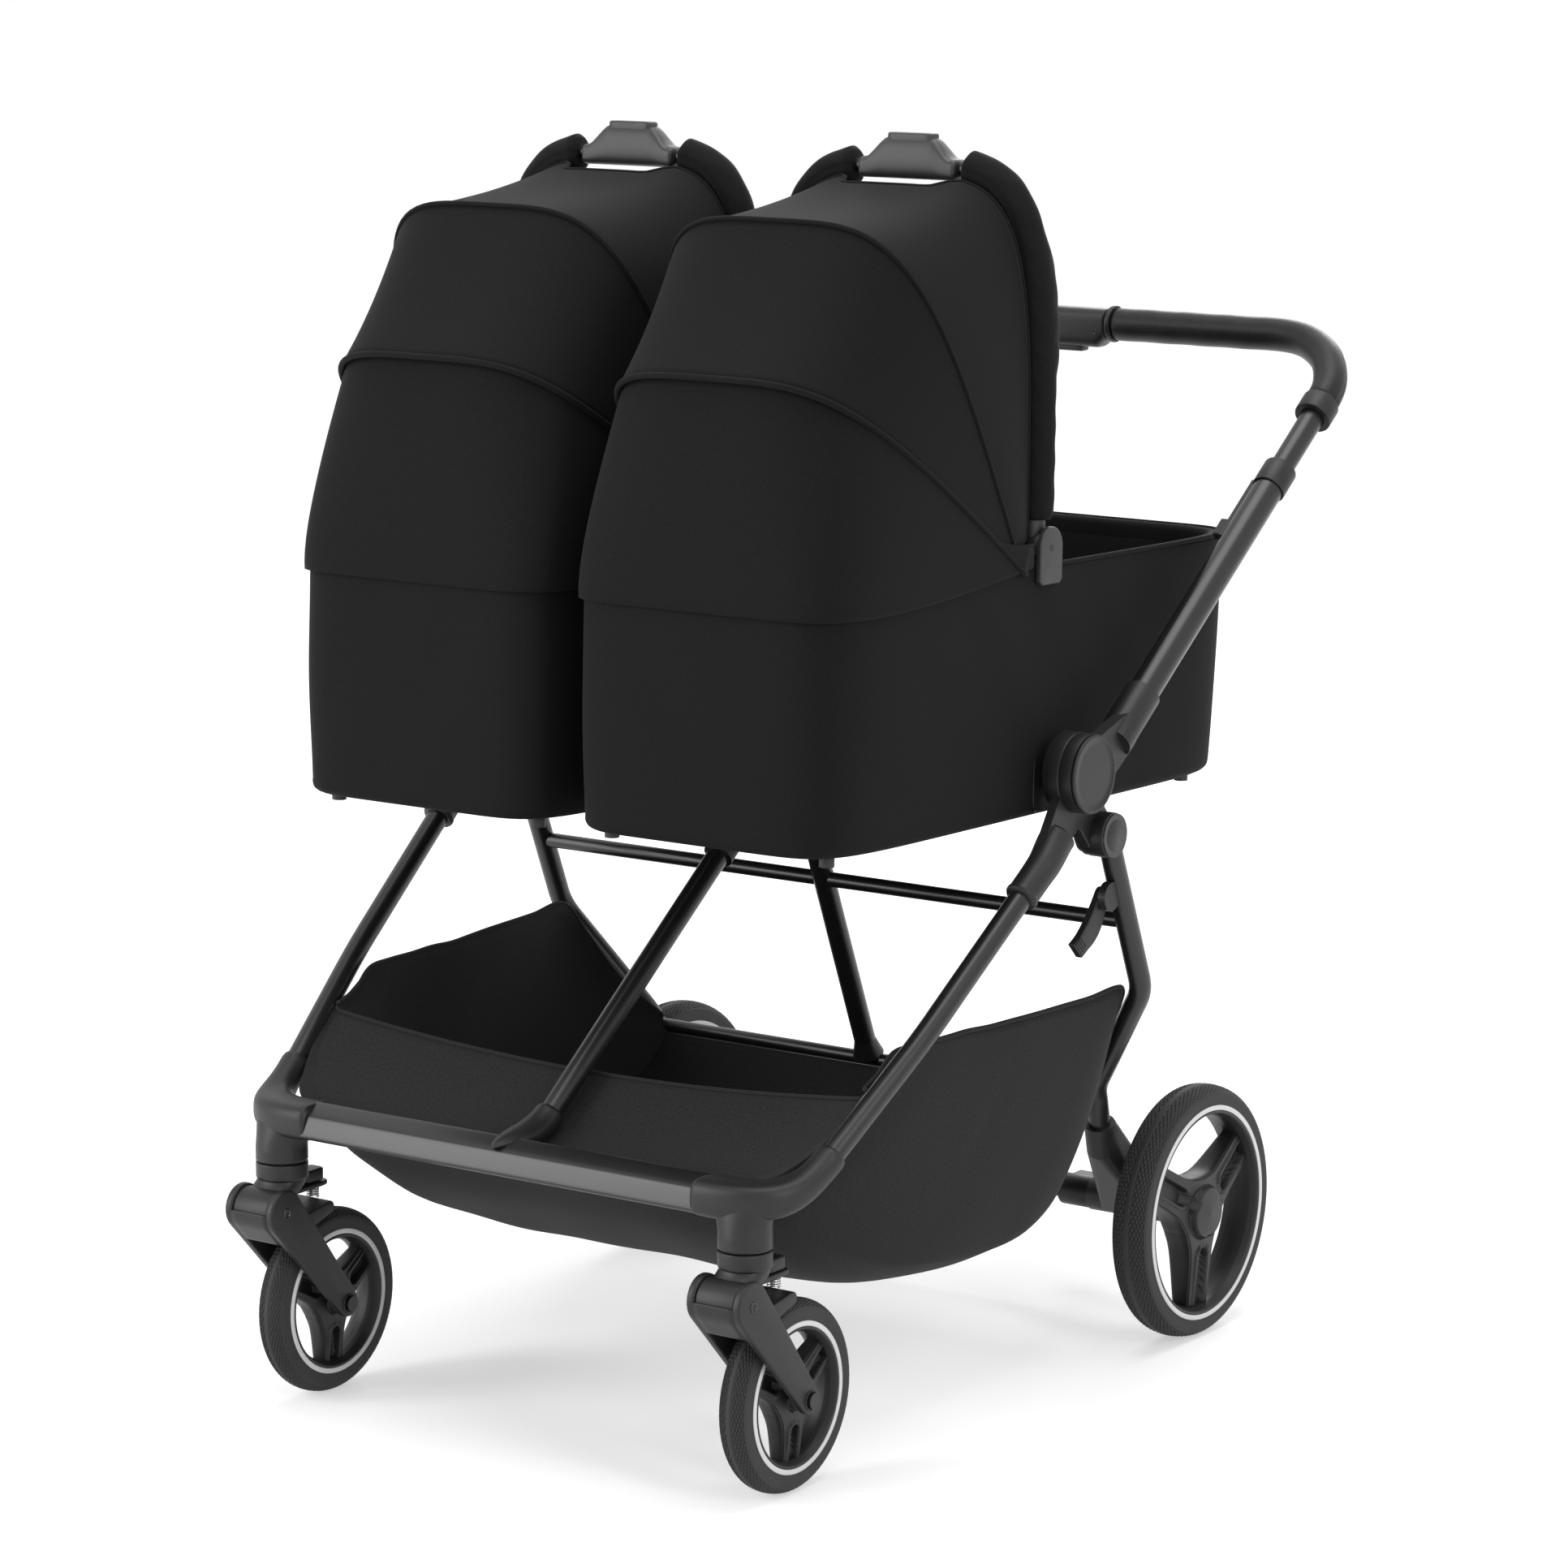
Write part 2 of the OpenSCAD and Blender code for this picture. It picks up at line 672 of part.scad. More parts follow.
module cot_sockets() color(plastic_black) both_sides() {
    cup(outer_wall_x + cup_gap, ring_x);
    cup(mast_t / 2, inner_wall_x - cup_gap);
}

// Rear frame: three legs on one fold axis, joined by two cross tubes
eye_seat = 13;
joggle_leg = [
    rear_leg_point(rear_span_top, pivot_z - eye_seat),
    rear_leg_point(rear_span_top, rear_bend_z),
    rear_leg_point(rear_span_joggle, rear_joggle_z),
    rear_leg_point(rear_span_foot, rear_foot_z)
];
rear_foot_dir = unit(joggle_leg[2] - joggle_leg[3]);
eye_cap_t = 3;
centre_leg_flare_d = 32;
centre_leg_flare_h = 18;
centre_rear_top = rear_leg_point(0, pivot_z - eye_seat);
centre_foot_up = 6;
centre_rear_foot = rear_leg_point(0, lower_cross_z + centre_foot_up);
centre_rear_dir = unit(centre_rear_top - centre_rear_foot);

module side_rear_leg() difference() {
    union() {
        bent_bar(joggle_leg, leg_d, rear_bend_r);
        x_rod(eye_x, eye_x + eye_w + eye_cap_t, pivot_y, pivot_z, pivot_boss_d);
    }
    x_rod(eye_x - overrun, eye_x + eye_w, pivot_y, pivot_z, pivot_pin_d + 2 * fit);
}

module centre_rear_leg() difference() {
    union() {
        rod(centre_rear_foot, centre_rear_top, leg_d);
        x_rod(-centre_eye_w / 2, centre_eye_w / 2, pivot_y, pivot_z, ear_d);
        aim(centre_rear_foot, centre_rear_dir)
            cylinder(d1 = centre_leg_flare_d, d2 = leg_d, h = centre_leg_flare_h);
    }
    x_rod(-centre_eye_w, centre_eye_w, pivot_y, pivot_z, pivot_pin_d + 2 * fit);
    cross_rod(lower_cross_z, cross_d + 2 * fit);
}

module rear_legs() color(frame_black) {
    both_sides() side_rear_leg();
    centre_rear_leg();
}

module cross_rod(z, d) x_rod(-rear_span_top / 2, rear_span_top / 2, rear_leg_y(z), z, d);

module cross_tubes() color(frame_black) {
    difference() {
        cross_rod(upper_cross_z, cross_d);
        both_sides() bent_bar(joggle_leg, leg_d + 2 * fit, rear_bend_r);
        rod(centre_rear_foot, centre_rear_top, leg_d + 2 * fit);
        both_sides() translate([rear_span_top / 2, pivot_y, 0]) cube([leg_d, wheel_base, pivot_z]);
    }
    intersection() {
        difference() {
            cross_rod(lower_cross_z, cross_d);
            both_sides() bent_bar(joggle_leg, leg_d + 2 * fit, rear_bend_r);
        }
        translate([-rear_span_joggle / 2, 0, 0]) cube([rear_span_joggle, wheel_base, pivot_z]);
    }
}

// Rear axle, its housings and the brake
housing_outer_x = rear_wheel_x - rear_hub_w / 2 - running;
housing_inner_x = housing_outer_x - housing_w;
housing_neck = 18;
housing_body_x = housing_inner_x + housing_neck;
housing_body_w = 54;
housing_collar_wall = 4.5;
housing_collar_d = leg_d + 2 * housing_collar_wall;
housing_collar_h = 30;
stub_end_x = rear_wheel_x + rear_hub_w / 2 - hub_face_t - running;

module rear_axle() color(frame_black) {
    x_rod(-housing_inner_x, housing_inner_x, wheel_base, rear_axle_z, axle_tube_d);
    both_sides() x_rod(housing_inner_x - overrun, stub_end_x, wheel_base, rear_axle_z, stub_d);
}

module axle_housing() difference() {
    union() {
        x_rod(housing_inner_x, housing_outer_x, wheel_base, rear_axle_z, housing_d);
        hull() {
            x_disc(housing_body_x, housing_body_w, wheel_base, rear_axle_z, housing_d);
            aim(joggle_leg[3] - rear_foot_dir * leg_seat, rear_foot_dir)
                cylinder(d = housing_collar_d, h = housing_collar_h + leg_seat, $fn = hull_fn);
        }
    }
    rod(joggle_leg[3], joggle_leg[2], leg_d + 2 * fit);
    x_rod(housing_inner_x - 2 * overrun, housing_outer_x + overrun, wheel_base, rear_axle_z,
        stub_d + 2 * fit);
}

module axle_housings() color(plastic_black) both_sides() axle_housing();

brake_collar_d = 32;
brake_collar_w = 34;
brake_x = housing_inner_x - running - brake_collar_w;
brake_reach = 62;
brake_fall = 14;
brake_tread_w = 70;
brake_tread_depth = 26;
brake_tread_t = 8;

module brake_lever() color(plastic_black) difference() {
    union() {
        x_rod(brake_x, brake_x + brake_collar_w, wheel_base, rear_axle_z, brake_collar_d);
        hull() {
            x_disc(brake_x, brake_collar_w, wheel_base, rear_axle_z, brake_collar_d / 2);
            translate([brake_x, wheel_base + brake_reach, rear_axle_z - brake_fall])
                cube([brake_collar_w, brake_tread_depth / 2, brake_tread_t]);
        }
        translate([
            brake_x + brake_collar_w - brake_tread_w,
            wheel_base + brake_reach,
            rear_axle_z - brake_fall
        ]) cube([brake_tread_w, brake_tread_depth, brake_tread_t]);
    }
    x_rod(brake_x - overrun, brake_x + brake_collar_w + overrun, wheel_base, rear_axle_z,
        axle_tube_d + 2 * fit);
}

// Latch that holds the folded frame, on a bracket at the right rear leg
latch_z = 489;
latch_ahead = 21;
latch_x = rear_span_top / 2;
latch_y = rear_leg_y(latch_z) - latch_ahead;
latch_t = 8;
latch_boss_d = 28;
latch_pin_d = 6;
latch_reach = [-49, -44];
latch_tip_d = 10;
latch_root_d = 16;

module latch_bracket() color(plastic_black) {
    difference() {
        hull() {
            x_disc(latch_x - latch_t / 2, latch_t, latch_y, latch_z, latch_boss_d);
            x_disc(latch_x - latch_t / 2, latch_t, rear_leg_y(latch_z), latch_z, leg_d / 2);
        }
        bent_bar(joggle_leg, leg_d + 2 * fit, rear_bend_r);
    }
    x_rod(latch_x - latch_t / 2 - latch_t, latch_x, latch_y, latch_z, latch_pin_d);
}

module storage_latch() color(plastic_black) difference() {
    hull() {
        x_disc(latch_x - latch_t / 2 - latch_t, latch_t - running, latch_y, latch_z, latch_root_d);
        x_disc(latch_x - latch_t / 2 - latch_t, latch_t - running, latch_y + latch_reach[0],
            latch_z + latch_reach[1], latch_tip_d);
    }
    x_rod(latch_x - 3 * latch_t, latch_x, latch_y, latch_z, latch_pin_d + 2 * fit);
}

// Handle: knuckles on the hubs, arm housings, upper tubes and the telescopic bar
arm_start = 56;
upper_tube_start = 72;
telescope_in = 75;
tongue_d = 56;
collar_h = 24;
collar_lip = 6;
rail_s = 380;
rail_h = 80;
rail_w = 9;
rail_t = 5;
knob_s = 352;
knob_h = 22;
knob_t = 7;

module handle_rod(s0, s1, d) rod(handle_point(handle_x, s0), handle_point(handle_x, s1), d);

module handle_arm() difference() {
    union() {
        x_rod(knuckle_x, cover_x, hub_y, hub_z, hub_d);
        hull() {
            x_disc(knuckle_x, knuckle_t, hub_y, hub_z, tongue_d);
            x_disc(knuckle_x, knuckle_t, handle_point(0, upper_tube_start).y,
                handle_point(0, upper_tube_start).z, arm_d);
        }
        handle_rod(arm_start, arm_end, arm_d);
    }
    handle_rod(upper_tube_start, arm_end + overrun, upper_tube_d + 2 * fit);
    x_rod(knuckle_x - overrun, cover_x + overrun, hub_y, hub_z, hub_bolt_d + 2 * fit);
}

module handle_arms() color(plastic_black) both_sides() handle_arm();

module hub_covers() color(plastic_black) both_sides()
    x_rod(cover_x, cover_x + hub_cover_t, hub_y, hub_z, hub_cover_d);

// Box on the inner side of an upper tube, at distance s along the handle
module inner_box(s, h, w, depth, gap) aim(handle_point(handle_x, s), handle_dir)
    translate([-w / 2, -upper_tube_d / 2 - depth - gap, -h / 2]) cube([w, depth, h]);

module upper_tube() difference() {
    union() {
        handle_rod(upper_tube_start, upper_tube_end, upper_tube_d);
        aim(handle_point(handle_x, rail_s), handle_dir)
            translate([-rail_w / 2, -upper_tube_d / 2 - rail_t, -rail_h / 2])
                cube([rail_w, rail_t + upper_tube_d / 4, rail_h]);
    }
    handle_rod(bar_tube_start - telescope_in - overrun, upper_tube_end + overrun, bar_tube_d + 2 * fit);
}

module upper_tubes() color(frame_black) both_sides() upper_tube();

tube_collar_d = 34;

module tube_collar() difference() {
    handle_rod(upper_tube_end - collar_h, upper_tube_end + collar_lip, tube_collar_d);
    handle_rod(upper_tube_end - collar_h - overrun, upper_tube_end, upper_tube_d + 2 * fit);
    handle_rod(upper_tube_end - overrun, upper_tube_end + collar_lip + overrun, bar_tube_d + 2 * fit);
    inner_box(rail_s, rail_h + 2 * overrun, rail_w + 2 * running, arm_d, -arm_d / 4);
}

module tube_collars() color(plastic_black) both_sides() tube_collar();

module telescope_knob() inner_box(knob_s, knob_h, rail_w, knob_t, rail_t + running);

module telescope_knobs() color(plastic_black) both_sides() telescope_knob();

module handle_tube() color(frame_black) bent_bar([
    handle_point(handle_x, bar_tube_start),
    handle_point(handle_x, handle_reach),
    handle_point(-handle_x, handle_reach),
    handle_point(-handle_x, bar_tube_start)
], bar_tube_d, handle_bend_r);

// Course of one grip, with extra length at both ends
module grip_course(d, extra) bent_bar([
    handle_point(handle_x, grip_start - extra),
    handle_point(handle_x, handle_reach),
    handle_point(bare_half_w - extra, handle_reach)
], d, handle_bend_r);

module grips() color(cloth_black) both_sides() difference() {
    grip_course(grip_d, 0);
    grip_course(bar_tube_d + 2 * fit, overrun);
}

grip_collar_h = 22;
grip_ring_w = 5;
grip_collar_d = grip_d + 2 * collar_wall;

module grip_collar() difference() {
    union() {
        handle_rod(grip_start - grip_collar_h, grip_start, grip_collar_d);
        x_rod(bare_half_w - grip_ring_w, bare_half_w, bar_mid.y, bar_mid.z, grip_collar_d);
    }
    grip_course(bar_tube_d + 2 * fit, grip_collar_h + overrun);
}

module grip_collars() color(plastic_black) both_sides() grip_collar();

button_depth = 16;
button_h = 12;
button_show = 5;

module button_box(grow) translate([
    -button_w / 2 - grow,
    bar_mid.y - button_depth / 2 - grow,
    bar_mid.z - trigger_h - button_show
]) cube([button_w + 2 * grow, button_depth + 2 * grow, button_h + (grow > 0 ? button_travel + running : 0)]);

trigger_top = 14;

module trigger_housing() color(plastic_black) difference() {
    translate([-trigger_w / 2, bar_mid.y - trigger_depth / 2, bar_mid.z - trigger_h])
        cube([trigger_w, trigger_depth, trigger_h + trigger_top]);
    x_rod(-trigger_w, trigger_w, bar_mid.y, bar_mid.z, bar_tube_d + 2 * fit);
    button_box(running);
}

module fold_button() color(plastic_black) button_box(0);

// Casters, drawn at the pram's right
crown_half_w = fork_gap / 2 - running;
fork_outer_x = fork_gap / 2 + fork_arm_t;
fork_pin_d = 10;
fork_foot_share = 0.8;
neck_d = 40;
neck_t = 2;
lug_w = 20;
lug_t = 5;
lug_z = 207;
lug_reach = 58;
spring_ahead = 18;
bumper_d = 12;
bumper_z = 189;
bumper_arm_d = 24;
axle_head_d = 15;
axle_head_t = 4;

module caster_at(side) flip(side) translate([front_wheel_x, 0, 0]) children();

module caster_head(side) color(plastic_black) caster_at(side) difference() {
    union() {
        translate([0, caster_y, caster_seam_z - swivel_ring_h]) {
            cylinder(d = column_d, h = swivel_ring_h - running);
            cylinder(d = kingpin_d, h = swivel_ring_h + kingpin_h - running);
        }
        hull() {
            translate([0, caster_y, caster_seam_z - swivel_ring_h])
                cylinder(d = neck_d, h = neck_t, $fn = hull_fn);
            x_disc(-crown_half_w, 2 * crown_half_w, fork_pivot_y, fork_pivot_z, crown_d);
        }
        translate([-lug_w / 2, caster_y, lug_z]) cube([lug_w, lug_reach, lug_t]);
    }
    x_rod(-fork_gap, fork_gap, fork_pivot_y, fork_pivot_z, fork_pin_d + 2 * fit);
}

module fork_arm() {
    hull() {
        x_disc(fork_gap / 2, fork_arm_t, fork_pivot_y, fork_pivot_z, fork_arm_w);
        x_disc(fork_gap / 2, fork_arm_t, 0, front_axle_z, fork_arm_w * fork_foot_share);
    }
    hull() {
        x_disc(fork_gap / 2, fork_arm_t, fork_pivot_y, fork_pivot_z, bumper_arm_d);
        x_disc(fork_gap / 2, fork_arm_t, -spring_ahead, bumper_z, bumper_d);
    }
}

module fork(side) color(plastic_black) caster_at(side) difference() {
    union() {
        both_sides() fork_arm();
        x_rod(-fork_outer_x, fork_outer_x, -spring_ahead, bumper_z, bumper_d);
        x_rod(-fork_outer_x, fork_outer_x, fork_pivot_y, fork_pivot_z, fork_pin_d);
    }
    x_rod(-2 * fork_gap, 2 * fork_gap, 0, front_axle_z, front_axle_d + 2 * fit);
}

module front_axle(side) color(frame_black) caster_at(side) {
    x_rod(-fork_outer_x - axle_head_t, fork_outer_x + axle_head_t, 0, front_axle_z, front_axle_d);
    both_sides() x_rod(fork_outer_x, fork_outer_x + axle_head_t, 0, front_axle_z, axle_head_d);
}

lock_w = 18;
lock_h = 13;
lock_reach = 27;

module swivel_lock(side) color(plastic_black) caster_at(side)
    translate([-lock_w / 2, caster_y + column_d / 2 + running, lug_z + lug_t + running])
        cube([lock_w, lock_reach, lock_h]);

// Suspension spring: one wire wound round an upright axis
spring_rings = 8;
wire_sides = 6;
spring_low_z = bumper_z + bumper_d / 2 + running + spring_wire_d / 2;
spring_high_z = lug_z - running - spring_wire_d / 2;
spring_coil_r = (spring_d - spring_wire_d) / 2;
spring_steps = spring_rings * spring_curls;
spring_centres = [for (k = [0:spring_steps]) [
    spring_coil_r * cos(360 * k / spring_rings),
    spring_coil_r * sin(360 * k / spring_rings),
    spring_low_z + (spring_high_z - spring_low_z) * k / spring_steps
]];
spring_gap = min([for (i = [0:spring_steps]) for (k = [i + spring_rings / 2:1:spring_steps])
    norm(spring_centres[i] - spring_centres[k])]) - spring_wire_d;
echo(spring_gap = spring_gap);

module caster_spring(side) color(spring_steel) caster_at(side) translate([0, -spring_ahead, 0])
    ring_solid([for (k = [0:spring_steps]) [for (m = [0:wire_sides - 1])
        let (a = 360 * k / spring_rings, b = -360 * m / wire_sides)
        spring_centres[k] + spring_wire_d / 2 * [cos(b) * cos(a), cos(b) * sin(a), sin(b)]]]);

// Basket: a cloth sling. Each row gives shares of the wheel base and of the hem's height above the
// floor, and a share of the half width, first along the bottom and then along the side hem.
basket_half_w = leg_span_foot / 2;
basket_front_y = bar_back_y + running;
basket_rear_y = rear_leg_y(lower_cross_z) - cross_d / 2 - running;
basket_bottom_shares = [
    [0.19, 1, 0.95], [0.1, 0.84, 0.9], [0, 0.7, 0.72], [0, 0.62, 0.72], [0.03, 0.52, 0.77],
    [0.08, 0.4, 0.81],
    [0.16, 0.27, 0.84], [0.27, 0.13, 0.87], [0.38, 0.04, 0.89], [0.5, 0, 0.9], [0.63, 0, 0.9],
    [0.76, 0.05, 0.9], [0.88, 0.18, 0.88], [0.96, 0.37, 0.83], [1, 0.53, 0.8]
];
basket_hem_shares = [
    [0.2, 1.04, 0.96], [0.24, 1.08, 0.97], [0.28, 1.15, 0.98], [0.34, 1.155, 1], [0.41, 1.15, 1.01],
    [0.47, 1.15, 1.02], [0.53, 1.14, 1.03], [0.59, 1.14, 1.04], [0.65, 1.14, 1.05], [0.72, 1.14, 1.06],
    [0.79, 1.14, 1.07],
    [0.88, 1.14, 1.07], [0.92, 1, 1.02], [0.95, 0.79, 0.92], [1, 0.62, 0.82]
];
basket_cross_shares = [-1, -0.93, -0.75, -0.4, 0, 0.4, 0.75, 0.93, 1];
basket_round = 34;
basket_rise_shares = [0, 0.35, 0.7];
basket_heart = [0, (basket_front_y + basket_rear_y) / 2, basket_front_z];

// Place of a basket row: share of the width, then the row's own shares
function basket_point(row, across) = [
    across * row[2] * basket_half_w,
    basket_front_y + (basket_rear_y - basket_front_y) * row[0],
    basket_floor_z + (basket_front_z - basket_floor_z) * row[1]
];
// The floor rounds up into the sides, most at its lowest rows
function basket_lift(k) = basket_round * pow(sin(180 * k / (len(basket_hem_shares) - 1)), 2);
// The front panel dips under the centre leg
basket_leg_dip = 38;
basket_dip_shares = [0.58, 1, 0.32];
function basket_dip(k, u) = u == 0 && k < len(basket_dip_shares) ? basket_leg_dip * basket_dip_shares[k] : 0;
function basket_inward(p) = unit([0, basket_heart.y - p.y, basket_heart.z - p.z]);
function basket_row(k) = let (hem = basket_hem_shares[k], low = basket_bottom_shares[k]) concat(
    [for (t = basket_rise_shares) basket_point(hem * (1 - t) + low * t, -1)],
    [for (u = basket_cross_shares)
        basket_point(low, u) + [0, 0, basket_lift(k) * pow(u, 8) - basket_dip(k, u)]],
    [for (i = [len(basket_rise_shares) - 1:-1:0])
        let (t = basket_rise_shares[i]) basket_point(hem * (1 - t) + low * t, 1)]
);
basket_last = len(basket_hem_shares) - 1;
basket_cols = 2 * len(basket_rise_shares) + len(basket_cross_shares);
basket_outer = [for (k = [basket_last:-1:0]) basket_row(k)];
basket_inner = [for (row = basket_outer) [for (j = [0:basket_cols - 1])
    let (
        p = row[j],
        side = j <= len(basket_rise_shares) ? 1 : j >= basket_cols - 1 - len(basket_rise_shares) ? -1 : 0,
        floored = j >= len(basket_rise_shares) && j < basket_cols - len(basket_rise_shares)
    )
    p + basket_t * ([side, 0, 0] + (floored ? basket_inward(p) : [0, 0, 0]))]];

module basket() color(cloth_black) sheet_solid(basket_outer, basket_inner);

// Cots, drawn at the pram's right in a frame on the hub axis that leans with the cots
cot_sides = 40;
corner_share = 0.25;
cot_edge = 8;
cot_lip = 4;
plug_out = ring_x - running - outer_wall_x;
plug_in = inner_wall_x - mast_t / 2 - running;

module cot_at(side) flip(side) translate([cot_x, hub_y, hub_z]) rotate([-cot_tilt, 0, 0]) children();

// Closed ring round a cot at height w, drawn in from its outer face by inset
function cot_ring(w, inset) = let (
    up = (w + cot_floor_drop) / (cot_rim_h + cot_floor_drop),
    half_w = (cot_floor_w + (cot_w - cot_floor_w) * up) / 2 - inset,
    front = cot_front - inset,
    rear = cot_rear - cot_rear_draw * (1 - up) - inset
) [for (k = [0:cot_sides - 1]) let (a = 360 * k / cot_sides) [
    half_w * spow(cos(a), corner_share),
    (rear - front) / 2 + (rear + front) / 2 * spow(sin(a), corner_share),
    w
]];

cot_floor_top = cot_floor_t - cot_floor_drop;

module cot_shell(side) color(cloth_black) cot_at(side) {
    ring_solid([
        cot_ring(-cot_floor_drop, cot_edge),
        cot_ring(cot_edge - cot_floor_drop, 0),
        cot_ring(cot_rim_h - cot_lip, 0),
        cot_ring(cot_rim_h, cot_lip),
        cot_ring(cot_rim_h, cot_wall - cot_lip),
        cot_ring(cot_rim_h - cot_lip, cot_wall),
        cot_ring(cot_floor_top + cot_edge, cot_wall),
        cot_ring(cot_floor_top, cot_wall + cot_edge)
    ]);
    x_rod(cot_half_w - cot_wall / 2, cot_half_w + plug_out, 0, 0, plug_d);
    x_rod(-cot_half_w - plug_in, -cot_half_w + cot_wall / 2, 0, 0, plug_d);
}

mattress_inset = cot_wall + mattress_gap;
mattress_crown_shares = [[0, 0.3], [0.18, 0], [0.6, 0], [0.84, 0.4], [0.97, 1.5], [1, 4]];

module mattress(side) color(cloth_black) cot_at(side) ring_solid([for (m = mattress_crown_shares)
    cot_ring(cot_floor_top + running + mattress_t * m[0], mattress_inset + mattress_t / 2 * m[1])]);

foot_x = 120;
foot_front = 322;
foot_rear = 300;

module cot_feet(side) color(plastic_black) cot_at(side)
    for (x = [-foot_x, foot_x]) for (y = [-foot_front, foot_rear])
        translate([x, y, -cot_floor_drop - foot_h - fit]) cylinder(d = foot_d, h = foot_h);

// Hoods: fabric over bows that turn about one pivot on each cot
hood_half_w = hood_w / 2;
hood_pivot = [0, -hood_pivot_ahead, hood_pivot_h];
hood_cols = 26;
hood_top_angle = 86;
hood_clear = 42;
hem_clear = 23;
bow_gap_angle = 0.15;
bracket_x = 157.3;
bracket_t = 4.2;
bracket_depth = 36;
bracket_h = 54;
bracket_up = 19;
bracket_gap = 0.2;
hood_pin_d = 8;
bow_d = 6;
bow_x = 121;
bow_eye_t = 8;
bow_eye_d = 16;
bow_shoulder = 250;
bow_top_half_w = 62;
bow_reach = 318;
bow_bend_r = 40;
arch_x = 140.5;
arch_foot = 6;
arch_shoulder = 300;
arch_top_half_w = 73;
arch_bend_r = 45;
arch_top = arch_reach - arch_d / 2;

module hood_at(side) cot_at(side) translate(hood_pivot) children();

// Place on a bow: along the bow by angle s, at a reach and an angle above level, inside by inset
function bow_point(reach, angle, share, s, inset) = let (r = (reach - inset) * spow(cos(s), share)) [
    (hood_half_w - inset) * spow(sin(s), share),
    -r * cos(angle),
    r * sin(angle)
];
function hem_point(s, inset, rise) = [
    (hood_half_w - inset) * spow(sin(s), corner_share),
    -(hem_reach - inset) * spow(cos(s), corner_share),
    cot_rim_h - hem_drop - hood_pivot_h + rise
];
// Angle along a bow where its reach has fallen to clear
function bow_end(reach, share, clear) = acos(pow(clear / reach, 1 / share));
function hood_steps(end) = [for (k = [0:hood_cols]) end * (2 * k / hood_cols - 1)];

low_bow_share = 0.4;
top_bow_share = 0.48;
lower_rows = 4;
low_bow_end = bow_end(low_bow_reach, low_bow_share, hood_clear);
hem_steps = hood_steps(bow_end(hem_reach, corner_share, hem_clear));
low_bow_steps = hood_steps(low_bow_end);
// The hem stands upright outside the rim, and the cloth leans in to the low bow from just above it
rim_clear = 4;
function lower_grid(inset) = concat(
    [[for (s = hem_steps) hem_point(s, inset, 0)]],
    [for (i = [0:lower_rows]) let (t = i / lower_rows) [for (k = [0:hood_cols])
        hem_point(hem_steps[k], inset, hem_drop + rim_clear) * (1 - t)
        + bow_point(low_bow_reach, low_bow_angle, low_bow_share, low_bow_steps[k], inset) * t]]
);

// Bows of the upper part as reach and angle, with the cloth drawn straight or hollow between them
front_slack = 20;
top_slack = 10;
top_sink = 22;
upper_bows = [
    [low_bow_reach, low_bow_angle + bow_gap_angle],
    [(low_bow_reach + piping_reach) / 2 - front_slack, (low_bow_angle + piping_angle) / 2],
    [piping_reach, piping_angle],
    [(piping_reach + arch_reach - top_sink) / 2 - top_slack, (piping_angle + hood_top_angle) / 2],
    [arch_reach - top_sink, hood_top_angle]
];
function upper_share(k) = low_bow_share + (top_bow_share - low_bow_share) * k / (len(upper_bows) - 1);
function upper_grid(inset) = [for (k = [0:len(upper_bows) - 1])
    let (b = upper_bows[k]) [for (s = hood_steps(bow_end(b[0], upper_share(k), hood_clear)))
        bow_point(b[0], b[1], upper_share(k), s, inset)]];

module hood_lower(side) color(cloth_black) hood_at(side) sheet_solid(lower_grid(0), lower_grid(hood_t));

module hood_upper(side) color(cloth_black) hood_at(side) sheet_solid(upper_grid(0), upper_grid(hood_t));

module hood_bracket() {
    translate([bracket_x, -bracket_depth / 2, bracket_up - bracket_h])
        cube([bracket_t, bracket_depth, bracket_h]);
    translate([cot_w / 2 + bracket_gap, -bracket_depth / 2, bracket_up - bracket_h])
        cube([
            bracket_x + bracket_t - cot_w / 2 - bracket_gap,
            bracket_depth,
            cot_rim_h - hood_pivot_h - bracket_up + bracket_h
        ]);
    x_rod(bow_x - bow_eye_t / 2, bracket_x + overrun, 0, 0, hood_pin_d);
}

module hood_brackets(side) color(plastic_black) hood_at(side) both_sides() hood_bracket();

module hood_bow(side) color(frame_black) hood_at(side) rotate([90 - low_bow_angle, 0, 0]) difference() {
    union() {
        bent_bar([
            [bow_x, 0, 0], [bow_x, 0, bow_shoulder], [bow_top_half_w, 0, bow_reach],
            [-bow_top_half_w, 0, bow_reach], [-bow_x, 0, bow_shoulder], [-bow_x, 0, 0]
        ], bow_d, bow_bend_r);
        both_sides() x_rod(bow_x - bow_eye_t / 2, bow_x + bow_eye_t / 2, 0, 0, bow_eye_d);
    }
    x_rod(-hood_half_w, hood_half_w, 0, 0, hood_pin_d + 2 * fit);
}

carry_depth = 28;
carry_drop = 16;
carry_rise = 22;
carry_top_w = 60;
carry_button_w = 48;
carry_button_depth = 14;
carry_button_h = 10;
carry_button_show = 4;

module carry_button_box(grow, sink) translate([
    -carry_button_w / 2 - grow,
    -carry_button_depth / 2 - grow,
    arch_top + carry_rise + carry_button_show - carry_button_h - sink
]) cube([carry_button_w + 2 * grow, carry_button_depth + 2 * grow, carry_button_h + sink]);

